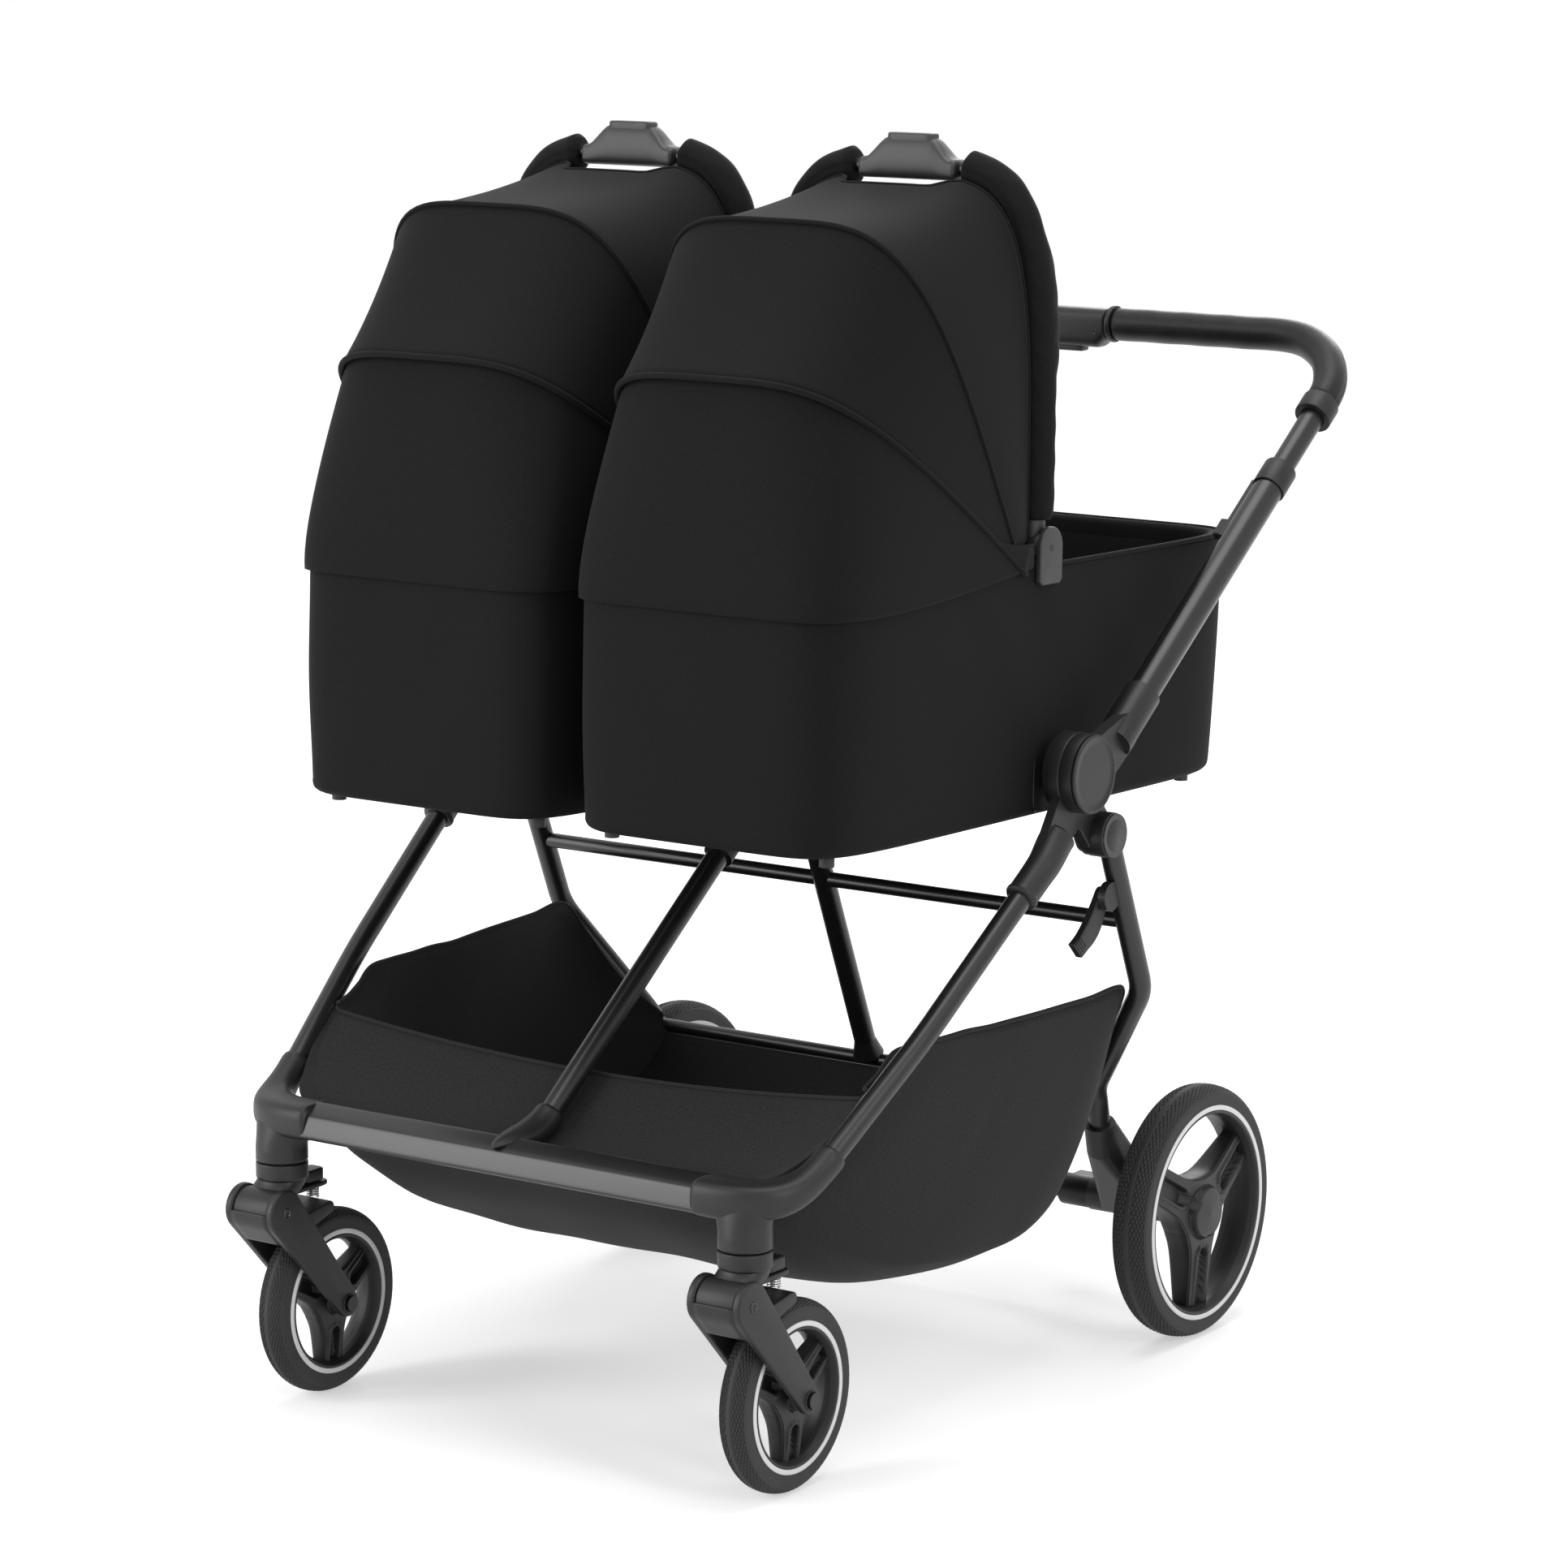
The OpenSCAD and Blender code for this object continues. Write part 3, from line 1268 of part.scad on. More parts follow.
module carry_arch(side) color(cloth_black) hood_at(side) difference() {
    union() {
        bent_bar([
            [arch_x, 0, -arch_foot], [arch_x, 0, arch_shoulder], [arch_top_half_w, 0, arch_top],
            [-arch_top_half_w, 0, arch_top], [-arch_x, 0, arch_shoulder], [-arch_x, 0, -arch_foot]
        ], arch_d, arch_bend_r);
        rotate([90, 0, 0]) linear_extrude(carry_depth, center = true) polygon([
            [-carry_grip_w / 2, arch_top - carry_drop],
            [carry_grip_w / 2, arch_top - carry_drop],
            [carry_grip_w / 2, arch_top - carry_drop + carry_grip_h],
            [carry_top_w / 2, arch_top + carry_rise],
            [-carry_top_w / 2, arch_top + carry_rise],
            [-carry_grip_w / 2, arch_top - carry_drop + carry_grip_h]
        ]);
    }
    x_rod(-hood_half_w, hood_half_w, 0, 0, hood_pin_d + 2 * fit);
    carry_button_box(running, carry_button_travel + running);
}

module carry_button(side) color(plastic_black) hood_at(side) carry_button_box(0, 0);

place() front_bar();
place() corner_castings();
place() front_legs();
place() centre_shoe();
place() hub_castings();
place() cot_sockets();
place() basket();
place() rear_legs();
place() cross_tubes();
place() rear_axle();
place() axle_housings();
place() latch_bracket();
place() storage_latch();
place() brake_lever();
place() handle_arms();
place() hub_covers();
place() upper_tubes();
place() tube_collars();
place() handle_tube();
place() grips();
place() grip_collars();
place() trigger_housing();
place() fold_button();
place() telescope_knobs();
place() caster_head(-1);  // caster_head_left
place() swivel_lock(-1);  // swivel_lock_left
place() caster_spring(-1);  // caster_spring_left
place() fork(-1);  // fork_left
place() front_axle(-1);  // front_axle_left
place() front_tyre(-1);  // front_tyre_left
place() front_rim(-1);  // front_rim_left
place() caster_head(1);  // caster_head_right
place() swivel_lock(1);  // swivel_lock_right
place() caster_spring(1);  // caster_spring_right
place() fork(1);  // fork_right
place() front_axle(1);  // front_axle_right
place() front_tyre(1);  // front_tyre_right
place() front_rim(1);  // front_rim_right
place() rear_tyre(-1);  // rear_tyre_left
place() rear_rim(-1);  // rear_rim_left
place() rear_tyre(1);  // rear_tyre_right
place() rear_rim(1);  // rear_rim_right
place() cot_shell(-1);  // cot_shell_left
place() mattress(-1);  // mattress_left
place() cot_feet(-1);  // cot_feet_left
place() hood_brackets(-1);  // hood_brackets_left
place() hood_lower(-1);  // hood_lower_left
place() hood_upper(-1);  // hood_upper_left
place() hood_bow(-1);  // hood_bow_left
place() carry_arch(-1);  // carry_arch_left
place() carry_button(-1);  // carry_button_left
place() cot_shell(1);  // cot_shell_right
place() mattress(1);  // mattress_right
place() cot_feet(1);  // cot_feet_right
place() hood_brackets(1);  // hood_brackets_right
place() hood_lower(1);  // hood_lower_right
place() hood_upper(1);  // hood_upper_right
place() hood_bow(1);  // hood_bow_right
place() carry_arch(1);  // carry_arch_right
place() carry_button(1);  // carry_button_right
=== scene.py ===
import json
import math

import bmesh
import bpy
import numpy as np
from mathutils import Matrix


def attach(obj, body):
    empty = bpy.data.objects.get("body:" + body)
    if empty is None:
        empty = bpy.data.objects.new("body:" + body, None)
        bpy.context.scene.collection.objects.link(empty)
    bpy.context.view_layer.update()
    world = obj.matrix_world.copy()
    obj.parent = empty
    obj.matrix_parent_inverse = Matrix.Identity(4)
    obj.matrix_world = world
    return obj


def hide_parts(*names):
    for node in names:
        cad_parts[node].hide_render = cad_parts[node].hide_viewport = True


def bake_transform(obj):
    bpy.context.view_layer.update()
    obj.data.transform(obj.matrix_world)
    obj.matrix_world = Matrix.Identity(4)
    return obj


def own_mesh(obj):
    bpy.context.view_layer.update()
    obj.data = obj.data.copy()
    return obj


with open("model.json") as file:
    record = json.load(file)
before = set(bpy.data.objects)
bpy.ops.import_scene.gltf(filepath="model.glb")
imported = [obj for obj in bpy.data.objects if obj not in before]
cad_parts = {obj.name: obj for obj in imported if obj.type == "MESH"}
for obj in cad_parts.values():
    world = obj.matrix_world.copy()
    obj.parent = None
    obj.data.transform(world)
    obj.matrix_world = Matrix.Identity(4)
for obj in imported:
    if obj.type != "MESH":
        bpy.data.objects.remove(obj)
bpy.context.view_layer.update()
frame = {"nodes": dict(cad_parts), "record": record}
nodes = frame["nodes"]
print("frame loaded:", len(nodes), "nodes")

mm = 0.001
sides = {"left": -1, "right": 1}

# places of the pram that several pieces share, in millimetres, measured back from the front axle
pram = {
    "originBack": 401.0,
    "hub": (370.0, 616.0),
    "cotX": 163.0,
    "cotTilt": 1.5,
    "hoodPivot": (-22.0, 213.0),
}


# arrays to meshes

def signedPower(v, p):
    return np.sign(v) * np.abs(v) ** p


def smoothStep(lo, hi, v):
    t = np.clip((v - lo) / (hi - lo), 0, 1)
    return t * t * (3 - 2 * t)


def unit(v):
    return v / np.linalg.norm(v, axis=-1, keepdims=True)


# angles round a full turn
def turnOf(count):
    return np.linspace(0, 2 * np.pi, count, endpoint=False)


# even points round a circle
def ringLine(middle, r, count):
    a = turnOf(count)
    return np.array(middle) + r * np.stack([np.cos(a), np.sin(a)], -1)


# points from coordinates whose shapes fit together
def xyz(x, y, z):
    return np.stack(np.broadcast_arrays(np.asarray(x, float), y, z), -1)


# points in millimetres from the front axle, moved over the pram's own middle and turned to metres
def toRow(p):
    return (np.asarray(p, float) - np.array([0, pram["originBack"], 0])) * mm


# points in a cot's own frame: leaned by the cot's tilt about the hub axis, then set left or right
def cotPlace(p, side):
    p = np.asarray(p, float)
    t = math.radians(pram["cotTilt"])
    x = side * (pram["cotX"] + p[..., 0])
    y = pram["hub"][0] + p[..., 1] * math.cos(t) + p[..., 2] * math.sin(t)
    z = pram["hub"][1] - p[..., 1] * math.sin(t) + p[..., 2] * math.cos(t)
    return toRow(xyz(x, y, z))


def hoodPlace(p, side):
    return cotPlace(np.add(p, [0, *pram["hoodPivot"]]), side)


# parts drawn flat in a side view (back, up), raised outward from a cot's wall or across the pram from an x
def wallPlace(place, side, half):
    return lambda p: place(xyz(half * p[..., 2], p[..., 0], p[..., 1]), side)


def acrossPlace(side, x=0.0, half=1):
    return lambda p: toRow(xyz(side * (x + half * p[..., 2]), p[..., 0], p[..., 1]))


# evenly spaced points along a dense polyline
def resample(curve, count, closed=False):
    curve = np.asarray(curve, float)
    if closed:
        curve = np.concatenate([curve, curve[:1]])
    step = np.linalg.norm(np.diff(curve, axis=0), axis=1)
    run = np.concatenate([[0], np.cumsum(step)])
    at = np.linspace(0, run[-1], count, endpoint=not closed)
    return np.stack([np.interp(at, run, curve[:, k]) for k in range(curve.shape[1])], -1)


# quads of a grid of points, with a UV in metres that is the mean run along its rows and columns
def surface(grid, closeRows=False, closeCols=False, capRows=False, mat=0):
    rows, cols = grid.shape[:2]
    i, j = np.meshgrid(np.arange(rows if closeRows else rows - 1),
                       np.arange(cols if closeCols else cols - 1), indexing="ij")
    i, j = i.ravel(), j.ravel()

    def at(a, b):
        return (a % rows) * cols + b % cols
    quads = np.stack([at(i, j), at(i + 1, j), at(i + 1, j + 1), at(i, j + 1)], -1)
    rowStep = np.linalg.norm(np.diff(np.concatenate([grid, grid[:1]]), axis=0), axis=2).mean(1)
    colStep = np.linalg.norm(np.diff(np.concatenate([grid, grid[:, :1]], 1), axis=1), axis=2).mean(0)
    v = np.concatenate([[0], np.cumsum(rowStep)])
    u = np.concatenate([[0], np.cumsum(colStep)])
    uv = np.stack([np.stack([u[j], v[i]], -1), np.stack([u[j], v[i + 1]], -1),
                   np.stack([u[j + 1], v[i + 1]], -1), np.stack([u[j + 1], v[i]], -1)], 1)
    points = grid.reshape(-1, 3)
    tris, triUv = np.zeros((0, 3), int), np.zeros((0, 3, 2))
    if capRows:  # a fan on the first and last row of a tube
        ends = [grid[0].mean(0), grid[-1].mean(0)]
        k = np.arange(cols)
        base, last = len(points), (rows - 1) * cols
        tris = np.concatenate([
            np.stack([k, (k + 1) % cols, np.full(cols, base)], -1),
            np.stack([last + (k + 1) % cols, last + k, np.full(cols, base + 1)], -1)])
        points = np.concatenate([points, ends])
        triUv = points[tris][..., :2]
    return {"points": points, "quads": quads, "quadUv": uv, "tris": tris, "triUv": triUv, "mat": mat}


# a sheet with thickness: the grid, the same grid moved in along its normals, and the borders between
def thickSheet(grid, thick, flip):
    du, dv = np.gradient(grid, axis=1), np.gradient(grid, axis=0)
    n = np.cross(du, dv)
    n /= np.maximum(np.linalg.norm(n, axis=2, keepdims=True), 1e-12)
    inner = grid + (n if flip else -n) * thick
    part = surface(np.concatenate([grid, inner[::-1]]), closeRows=True)
    rows, cols = grid.shape[:2]
    k = np.arange(rows - 1)
    ends = []
    for col in (0, cols - 1):
        ends.append(np.stack([k * cols + col, (k + 1) * cols + col,
                              (2 * rows - 2 - k) * cols + col, (2 * rows - 1 - k) * cols + col], -1))
    ends = np.concatenate(ends)
    part["quads"] = np.concatenate([part["quads"], ends])
    part["quadUv"] = np.concatenate([part["quadUv"], part["points"][ends][..., :2]])
    return part


# a closed solid from its rings, in millimetres
def solid(grid):
    return surface(toRow(grid), closeCols=True, capRows=True)


# a section carried along a path: each ring stands square to the path, turned to the plane's normal
def sweep(path, radius, count, normal, offset=0.0, mat=0):
    path = np.asarray(path, float)
    tangent = unit(np.gradient(path, axis=0))
    b = np.broadcast_to(np.asarray(normal, float), path.shape)
    b = unit(b - (b * tangent).sum(1, keepdims=True) * tangent)
    n = np.cross(b, tangent)
    a = turnOf(count)[None, :, None]
    r = np.broadcast_to(np.asarray(radius, float).reshape(-1, 1), (len(path), count)) + offset
    grid = path[:, None] + r[..., None] * (np.cos(a) * n[:, None] + np.sin(a) * b[:, None])
    return surface(grid, closeCols=True, capRows=True, mat=mat)


# an outline raised through levels of (height, inset), drawn in along its own normals
def raised(outline, levels, place, mat=0):
    outline = np.asarray(outline, float)
    tangent = np.roll(outline, -1, 0) - np.roll(outline, 1, 0)
    n = unit(np.stack([tangent[:, 1], -tangent[:, 0]], -1))
    x, y = outline.T
    n *= np.sign(np.sum(x * np.roll(y, -1) - y * np.roll(x, -1)))
    rings = [np.concatenate([outline - n * inset, np.full((len(outline), 1), h)], 1) for h, inset in levels]
    return surface(place(np.stack(rings)), closeCols=True, capRows=True, mat=mat)


# rounded rectangle as a superellipse of even spacing
def roundedOutline(w, h, share=0.28):
    a = turnOf(1200)
    return resample(np.stack([w / 2 * signedPower(np.cos(a), share),
                              h / 2 * signedPower(np.sin(a), share)], -1), 64, closed=True)


# heights and insets of a slab with rounded edges
def softLevels(lo, hi, edge):
    a = np.linspace(0, np.pi / 2, 5)
    low = [(lo + edge * (1 - math.sin(t)), edge * (1 - math.cos(t))) for t in a[::-1]]
    high = [(hi - edge * (1 - math.sin(t)), edge * (1 - math.cos(t))) for t in a]
    return low + high


# heights and insets counted from a face
def levelsFrom(face, steps):
    return [(face + h, inset) for h, inset in steps]


# share of a bar's section that is left towards its rounded ends
def roundEnds(x, halfW, run, r, least):
    return np.sqrt(np.clip(1 - (np.clip(np.abs(x) - halfW + run, 0, run) / r) ** 2, least, 1))


# one mesh from several parts with its materials, set on its body; the CAD nodes it stands for are hidden
def buildPiece(name, parts, mats, body, standsFor=()):
    points, faces, uvs, matIds, base = [], [], [], [], 0
    for p in parts:
        points.append(p["points"])
        faces += (p["quads"] + base).tolist() + (p["tris"] + base).tolist()
        uvs += [p["quadUv"].reshape(-1, 2), p["triUv"].reshape(-1, 2)]
        matIds += [p["mat"]] * (len(p["quads"]) + len(p["tris"]))
        base += len(p["points"])
    mesh = bpy.data.meshes.new(name)
    mesh.from_pydata(np.concatenate(points).tolist(), [], faces)
    layer = mesh.uv_layers.new(name="cut")
    layer.data.foreach_set("uv", np.concatenate(uvs).astype(np.float32).ravel())
    mesh.polygons.foreach_set("material_index", np.array(matIds, np.int32))
    mesh.polygons.foreach_set("use_smooth", np.ones(len(faces), bool))
    for m in mats:
        mesh.materials.append(m)
    work = bmesh.new()
    work.from_mesh(mesh)
    bmesh.ops.recalc_face_normals(work, faces=work.faces)
    work.to_mesh(mesh)
    work.free()
    obj = bpy.data.objects.new(name, mesh)
    bpy.context.collection.objects.link(obj)
    if standsFor:
        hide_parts(*standsFor)
    if body:
        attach(obj, body)
    return obj


# materials

def newMaterial(name, **sockets):
    mat = bpy.data.materials.new(name)
    mat.use_nodes = True
    tree = mat.node_tree
    shader = tree.nodes["Principled BSDF"]
    for key, value in sockets.items():
        shader.inputs[key].default_value = value
    return mat, tree, shader


def nodeOf(tree, kind, **values):
    n = tree.nodes.new(kind)
    for key, value in values.items():
        if key in n.inputs:
            n.inputs[key].default_value = value
        else:
            setattr(n, key, value)
    return n


# base colour between two shades, driven by a factor from one limit to another
def shadeRamp(tree, shader, factor, dark, light, lo, hi):
    ramp = nodeOf(tree, "ShaderNodeValToRGB")
    first, last = ramp.color_ramp.elements
    first.position, first.color = lo, (*dark, 1)
    last.position, last.color = hi, (*light, 1)
    tree.links.new(factor, ramp.inputs["Fac"])
    tree.links.new(ramp.outputs["Color"], shader.inputs["Base Color"])


# colour that drifts between two close shades with a noise
def shadeDrift(tree, shader, coord, dark, light, scale):
    noise = nodeOf(tree, "ShaderNodeTexNoise", Scale=scale, Detail=4.0)
    tree.links.new(coord, noise.inputs["Vector"])
    shadeRamp(tree, shader, noise.outputs["Fac"], dark, light, 0.3, 0.7)


def addBump(tree, shader, height, strength, distance):
    bump = nodeOf(tree, "ShaderNodeBump", Strength=strength, Distance=distance)
    tree.links.new(height, bump.inputs["Height"])
    tree.links.new(bump.outputs["Normal"], shader.inputs["Normal"])


# roughness between two limits, driven by a factor
def roughDrift(tree, shader, factor, lo, hi):
    span = nodeOf(tree, "ShaderNodeMapRange")
    span.inputs["To Min"].default_value = lo
    span.inputs["To Max"].default_value = hi
    tree.links.new(factor, span.inputs["Value"])
    tree.links.new(span.outputs["Result"], shader.inputs["Roughness"])


def hardFinish(name, dark, light, lo, hi, grain, bump, **more):
    mat, tree, shader = newMaterial(name, **more)
    coord = nodeOf(tree, "ShaderNodeTexCoord").outputs["Object"]
    shadeDrift(tree, shader, coord, dark, light, 14.0)
    fine = nodeOf(tree, "ShaderNodeTexNoise", Scale=grain, Detail=3.0)
    tree.links.new(coord, fine.inputs["Vector"])
    roughDrift(tree, shader, fine.outputs["Fac"], lo, hi)
    addBump(tree, shader, fine.outputs["Fac"], bump, 0.0002)
    return mat


# plain weave on the cloth's own UV: two sets of threads, raised in turn, with a heathered shade
def wovenFinish(name, dark, light, threads, bump, sheen, rough):
    sockets = {"Roughness": rough, "Sheen Weight": sheen, "Sheen Roughness": 0.45, "Specular IOR Level": 0.16}
    mat, tree, shader = newMaterial(name, **sockets)
    coord = nodeOf(tree, "ShaderNodeTexCoord").outputs["UV"]
    warp = nodeOf(tree, "ShaderNodeTexWave", bands_direction="X", Scale=threads, Distortion=0.6, Detail=1.0)
    weft = nodeOf(tree, "ShaderNodeTexWave", bands_direction="Y", Scale=threads, Distortion=0.6, Detail=1.0)
    for w in (warp, weft):
        tree.links.new(coord, w.inputs["Vector"])
    cross = nodeOf(tree, "ShaderNodeMath", operation="MULTIPLY")
    tree.links.new(warp.outputs["Fac"], cross.inputs[0])
    tree.links.new(weft.outputs["Fac"], cross.inputs[1])
    heather = nodeOf(tree, "ShaderNodeTexNoise", Scale=420.0, Detail=6.0, Roughness=0.7)
    tree.links.new(coord, heather.inputs["Vector"])
    mix = nodeOf(tree, "ShaderNodeMath", operation="MULTIPLY_ADD")
    mix.inputs[1].default_value = 0.35
    tree.links.new(cross.outputs[0], mix.inputs[0])
    tree.links.new(heather.outputs["Fac"], mix.inputs[2])
    shadeRamp(tree, shader, mix.outputs[0], dark, light, 0.35, 0.85)
    addBump(tree, shader, mix.outputs[0], bump, 0.0003)
    return mat


def leatherFinish(name):
    mat, tree, shader = newMaterial(name, **{"Specular IOR Level": 0.28})
    coord = nodeOf(tree, "ShaderNodeTexCoord").outputs["UV"]
    shadeDrift(tree, shader, coord, (0.009, 0.009, 0.009), (0.015, 0.015, 0.015), 60.0)
    cells = nodeOf(tree, "ShaderNodeTexVoronoi", Scale=700.0)
    cells.feature = "DISTANCE_TO_EDGE"
    tree.links.new(coord, cells.inputs["Vector"])
    roughDrift(tree, shader, cells.outputs["Distance"], 0.38, 0.62)
    addBump(tree, shader, cells.outputs["Distance"], 0.5, 0.0004)
    return mat


# hard finishes: dark and light shade, least and most roughness, grain, bump
# woven finishes: dark and light shade, threads, bump, sheen, roughness
finish = {
    "frame": hardFinish("satin_black_coat", (0.0085, 0.0085, 0.0088), (0.0125, 0.0125, 0.0129),
                        0.27, 0.38, 1300.0, 0.08),
    "plastic": hardFinish("moulded_black", (0.0105, 0.0105, 0.0108), (0.0155, 0.0155, 0.0159),
                          0.38, 0.52, 2600.0, 0.22, **{"Specular IOR Level": 0.40}),
    "grey": hardFinish("moulded_charcoal", (0.026, 0.026, 0.0265), (0.036, 0.036, 0.0366),
                       0.40, 0.52, 2600.0, 0.25),
    "tyre": hardFinish("foam_rubber", (0.020, 0.020, 0.0205), (0.031, 0.031, 0.0315),
                       0.62, 0.80, 900.0, 0.25),
    "ring": hardFinish("pale_reflective_band", (0.80, 0.80, 0.80), (0.88, 0.88, 0.88),
                       0.30, 0.42, 1800.0, 0.12),
    "steel": hardFinish("plated_steel", (0.62, 0.62, 0.64), (0.72, 0.72, 0.74),
                        0.20, 0.34, 600.0, 0.08, Metallic=1.0),
    "bolt": hardFinish("dark_bolt", (0.05, 0.05, 0.052), (0.08, 0.08, 0.082),
                       0.28, 0.40, 900.0, 0.10, Metallic=1.0),
    "cloth": wovenFinish("hood_cloth", (0.0026, 0.0026, 0.0027), (0.0078, 0.0078, 0.0081),
                         420.0, 0.24, 0.02, 0.82),
    "basketCloth": wovenFinish("basket_cloth", (0.0125, 0.0125, 0.0129), (0.0340, 0.0340, 0.0348),
                               300.0, 0.34, 0.04, 0.80),
    "lining": wovenFinish("lining_cloth", (0.0070, 0.0070, 0.0072), (0.0170, 0.0170, 0.0174),
                          260.0, 0.25, 0.08, 0.86),
    "leather": leatherFinish("grip_leather"),
}
print("materials made:", len(finish))

# CAD nodes whose shape is right keep it and take a finish
slotFinish = {"frame": "frame", "plastic": "plastic", "cloth": "cloth", "lining": "lining", "grip": "leather",
              "tyre": "tyre", "steel": "bolt"}
for row in frame["record"]["subparts"]:
    node = nodes[row["node"]]
    node.data.materials.clear()
    node.data.materials.append(finish[slotFinish[row["material_slot"]]])
    if row["material_slot"] == "plastic":  # moulded edges are rounded
        weld = node.modifiers.new("joined", "WELD")
        weld.merge_threshold = 0.00001
        soft = node.modifiers.new("edges", "BEVEL")
        soft.width, soft.segments, soft.limit_method = 0.0010, 2, "ANGLE"
        soft.angle_limit = math.radians(42)


# hoods

# each bow: reach, angle above level, share of the superellipse, and its foot from the pivot, back and up
hoodCut = {
    "low": (350.0, 35.0, 0.51, -30.5, -28.3), "lip": (355.4, 33.45, 0.51, -30.5, -28.3),
    "pipe": (356.6, 60.8, 0.49, -52.2, -8.2), "top": (338.0, 90.0, 0.47, -19.0, 0.0),
    "halfW": 159.3, "clear": 10.0, "crowd": 1.4, "hollowReach": 340.0, "dipReach": 331.0, "tuck": 12.5,
    "hemZ": -41.0, "hemReach": 346.5, "hemShare": 0.25, "hemClear": 25.0, "hemCrowd": 1.6, "hemEndRise": 24.0,
    "hemEndFrom": -330.0, "hemEndRun": 310.0, "pullOut": 1.008, "pullUp": 48.0, "slotHalfW": 64.0,
    "slotDepth": 0.14, "cols": 96, "lowRows": 26, "lipRows": 20, "topRows": 24, "thick": 2.0,
    "pipeR": 2.3, "pipeProud": 1.2, "lipR": 3.0, "lipSunk": 0.6, "edgeR": 1.7, "seamLean": 57.0,
    "lowTies": [(0, -346.5, -30), (0, -304, 170)], "topTies": [(0, -304, 176), (0, -30, 344)],
    "lowFlat": 0.92, "topFlat": 0.94, "spare": 1.15,
}


# half a superellipse, left clear at its ends: half width times sine to a share, reach times cosine to it
def halfOval(halfW, reach, share, clear, crowd):
    end = math.acos((clear / reach) ** (1 / share))
    u = np.linspace(-1, 1, 3001)
    s = end * u * np.abs(u) ** crowd
    return halfW * signedPower(np.sin(s), share), reach * signedPower(np.cos(s), share)


# bow: a half superellipse in the plane at an angle above level through its foot
def bowCurve(reach, angle, share, back, up, halfW=hoodCut["halfW"]):
    c = hoodCut
    across, r = halfOval(halfW, reach, share, c["clear"], c["crowd"])
    a = math.radians(angle)
    return resample(xyz(across, back - r * math.cos(a), up + r * math.sin(a)), c["cols"])


# hem along the cot's rim, which rises to its ends by a power
def hemCurve():
    c = hoodCut
    across, r = halfOval(c["halfW"], c["hemReach"], c["hemShare"], c["hemClear"], c["hemCrowd"])
    curve = resample(xyz(across, -r, c["hemZ"]), c["cols"])
    curve[:, 2] += c["hemEndRise"] * np.clip((curve[:, 1] - c["hemEndFrom"]) / c["hemEndRun"], 0, 1) ** 1.8
    return curve


# lower cloth: each column is a curve of the second degree from the hem, upright at first, to the low bow
def hoodLowerGrid():
    c = hoodCut
    low, hem = bowCurve(*c["low"]), hemCurve()
    pull = hem * np.array([c["pullOut"], c["pullOut"], 1]) + np.array([0, 0, c["pullUp"]])
    t = np.linspace(0, 1, c["lowRows"])[:, None, None]
    return (1 - t) ** 2 * hem + 2 * t * (1 - t) * pull + t ** 2 * low


# rows between two bows: the reach runs on a parabola through a middle one, the other values run evenly
def bowRows(count, first, middle, last, tuck=0.0):
    rows = []
    for t in np.linspace(0, 1, count):
        reach = first[0] * (1 - t) * (1 - 2 * t) + 4 * middle * t * (1 - t) + last[0] * t * (2 * t - 1)
        others = np.array(first[1:]) + np.subtract(last[1:], first[1:]) * t
        rows.append(bowCurve(reach, *others, hoodCut["halfW"] - tuck * t ** 2))
    return np.stack(rows)


# upper cloth: up to the piping, then on to the arch, where it draws in so that the padding stands proud of it
def hoodUpperGrid():
    c = hoodCut
    lower = bowRows(c["lipRows"], c["lip"], c["hollowReach"], c["pipe"])
    upper = bowRows(c["topRows"], c["pipe"], c["dipReach"], c["top"], c["tuck"])
    # the cloth stops short below the carry grip, which leaves a slot
    beside = smoothStep(c["slotHalfW"] * 0.72, c["slotHalfW"], np.abs(upper[-1, :, 0]))
    stop = 1 - c["slotDepth"] * (1 - beside)
    last = c["topRows"] - 1
    at = np.linspace(0, last, c["topRows"])[:, None] * stop
    k = np.clip(at.astype(int), 0, last - 1)
    f = (at - k)[..., None]
    col = np.arange(c["cols"])
    upper = upper[k, col] * (1 - f) + upper[k + 1, col] * f
    return np.concatenate([lower, upper[1:]])


lowerCut, upperCut = hoodLowerGrid(), hoodUpperGrid()
pipeLine = bowCurve(hoodCut["pipe"][0] + hoodCut["pipeProud"], *hoodCut["pipe"][1:])
lipLine = bowCurve(hoodCut["lip"][0] - hoodCut["lipSunk"], *hoodCut["lip"][1:])
for name, side in sides.items():
    c = hoodCut
    grid = hoodPlace(lowerCut, side)
    parts = [thickSheet(grid, c["thick"] * mm, side < 0)]
    piece = buildPiece(f"hood_lower_cloth_{name}", parts, [finish["cloth"]], None,
                       [f"hood_lower_{name}"])
    start, end = hoodPlace(c["lowTies"], side)
    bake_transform(piece)
    grid = hoodPlace(upperCut, side)
    lean = math.radians(c["seamLean"])
    plane = hoodPlace([[0, 0, 0], [0, math.sin(lean), math.cos(lean)]], side)
    normal = plane[1] - plane[0]
    parts = [thickSheet(grid, c["thick"] * mm, side < 0),
             sweep(hoodPlace(pipeLine, side), c["pipeR"] * mm, 10, normal),
             sweep(hoodPlace(lipLine, side), c["lipR"] * mm, 12, normal),
             sweep(resample(grid[-1], 220), c["edgeR"] * mm, 8, normal)]
    piece = buildPiece(f"hood_upper_cloth_{name}", parts, [finish["cloth"]], None,
                       [f"hood_upper_{name}"])
    start, end = hoodPlace(c["topTies"], side)
    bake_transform(piece)
print("hoods made")


# carry arches: padded sleeve, cross tube, grip and button

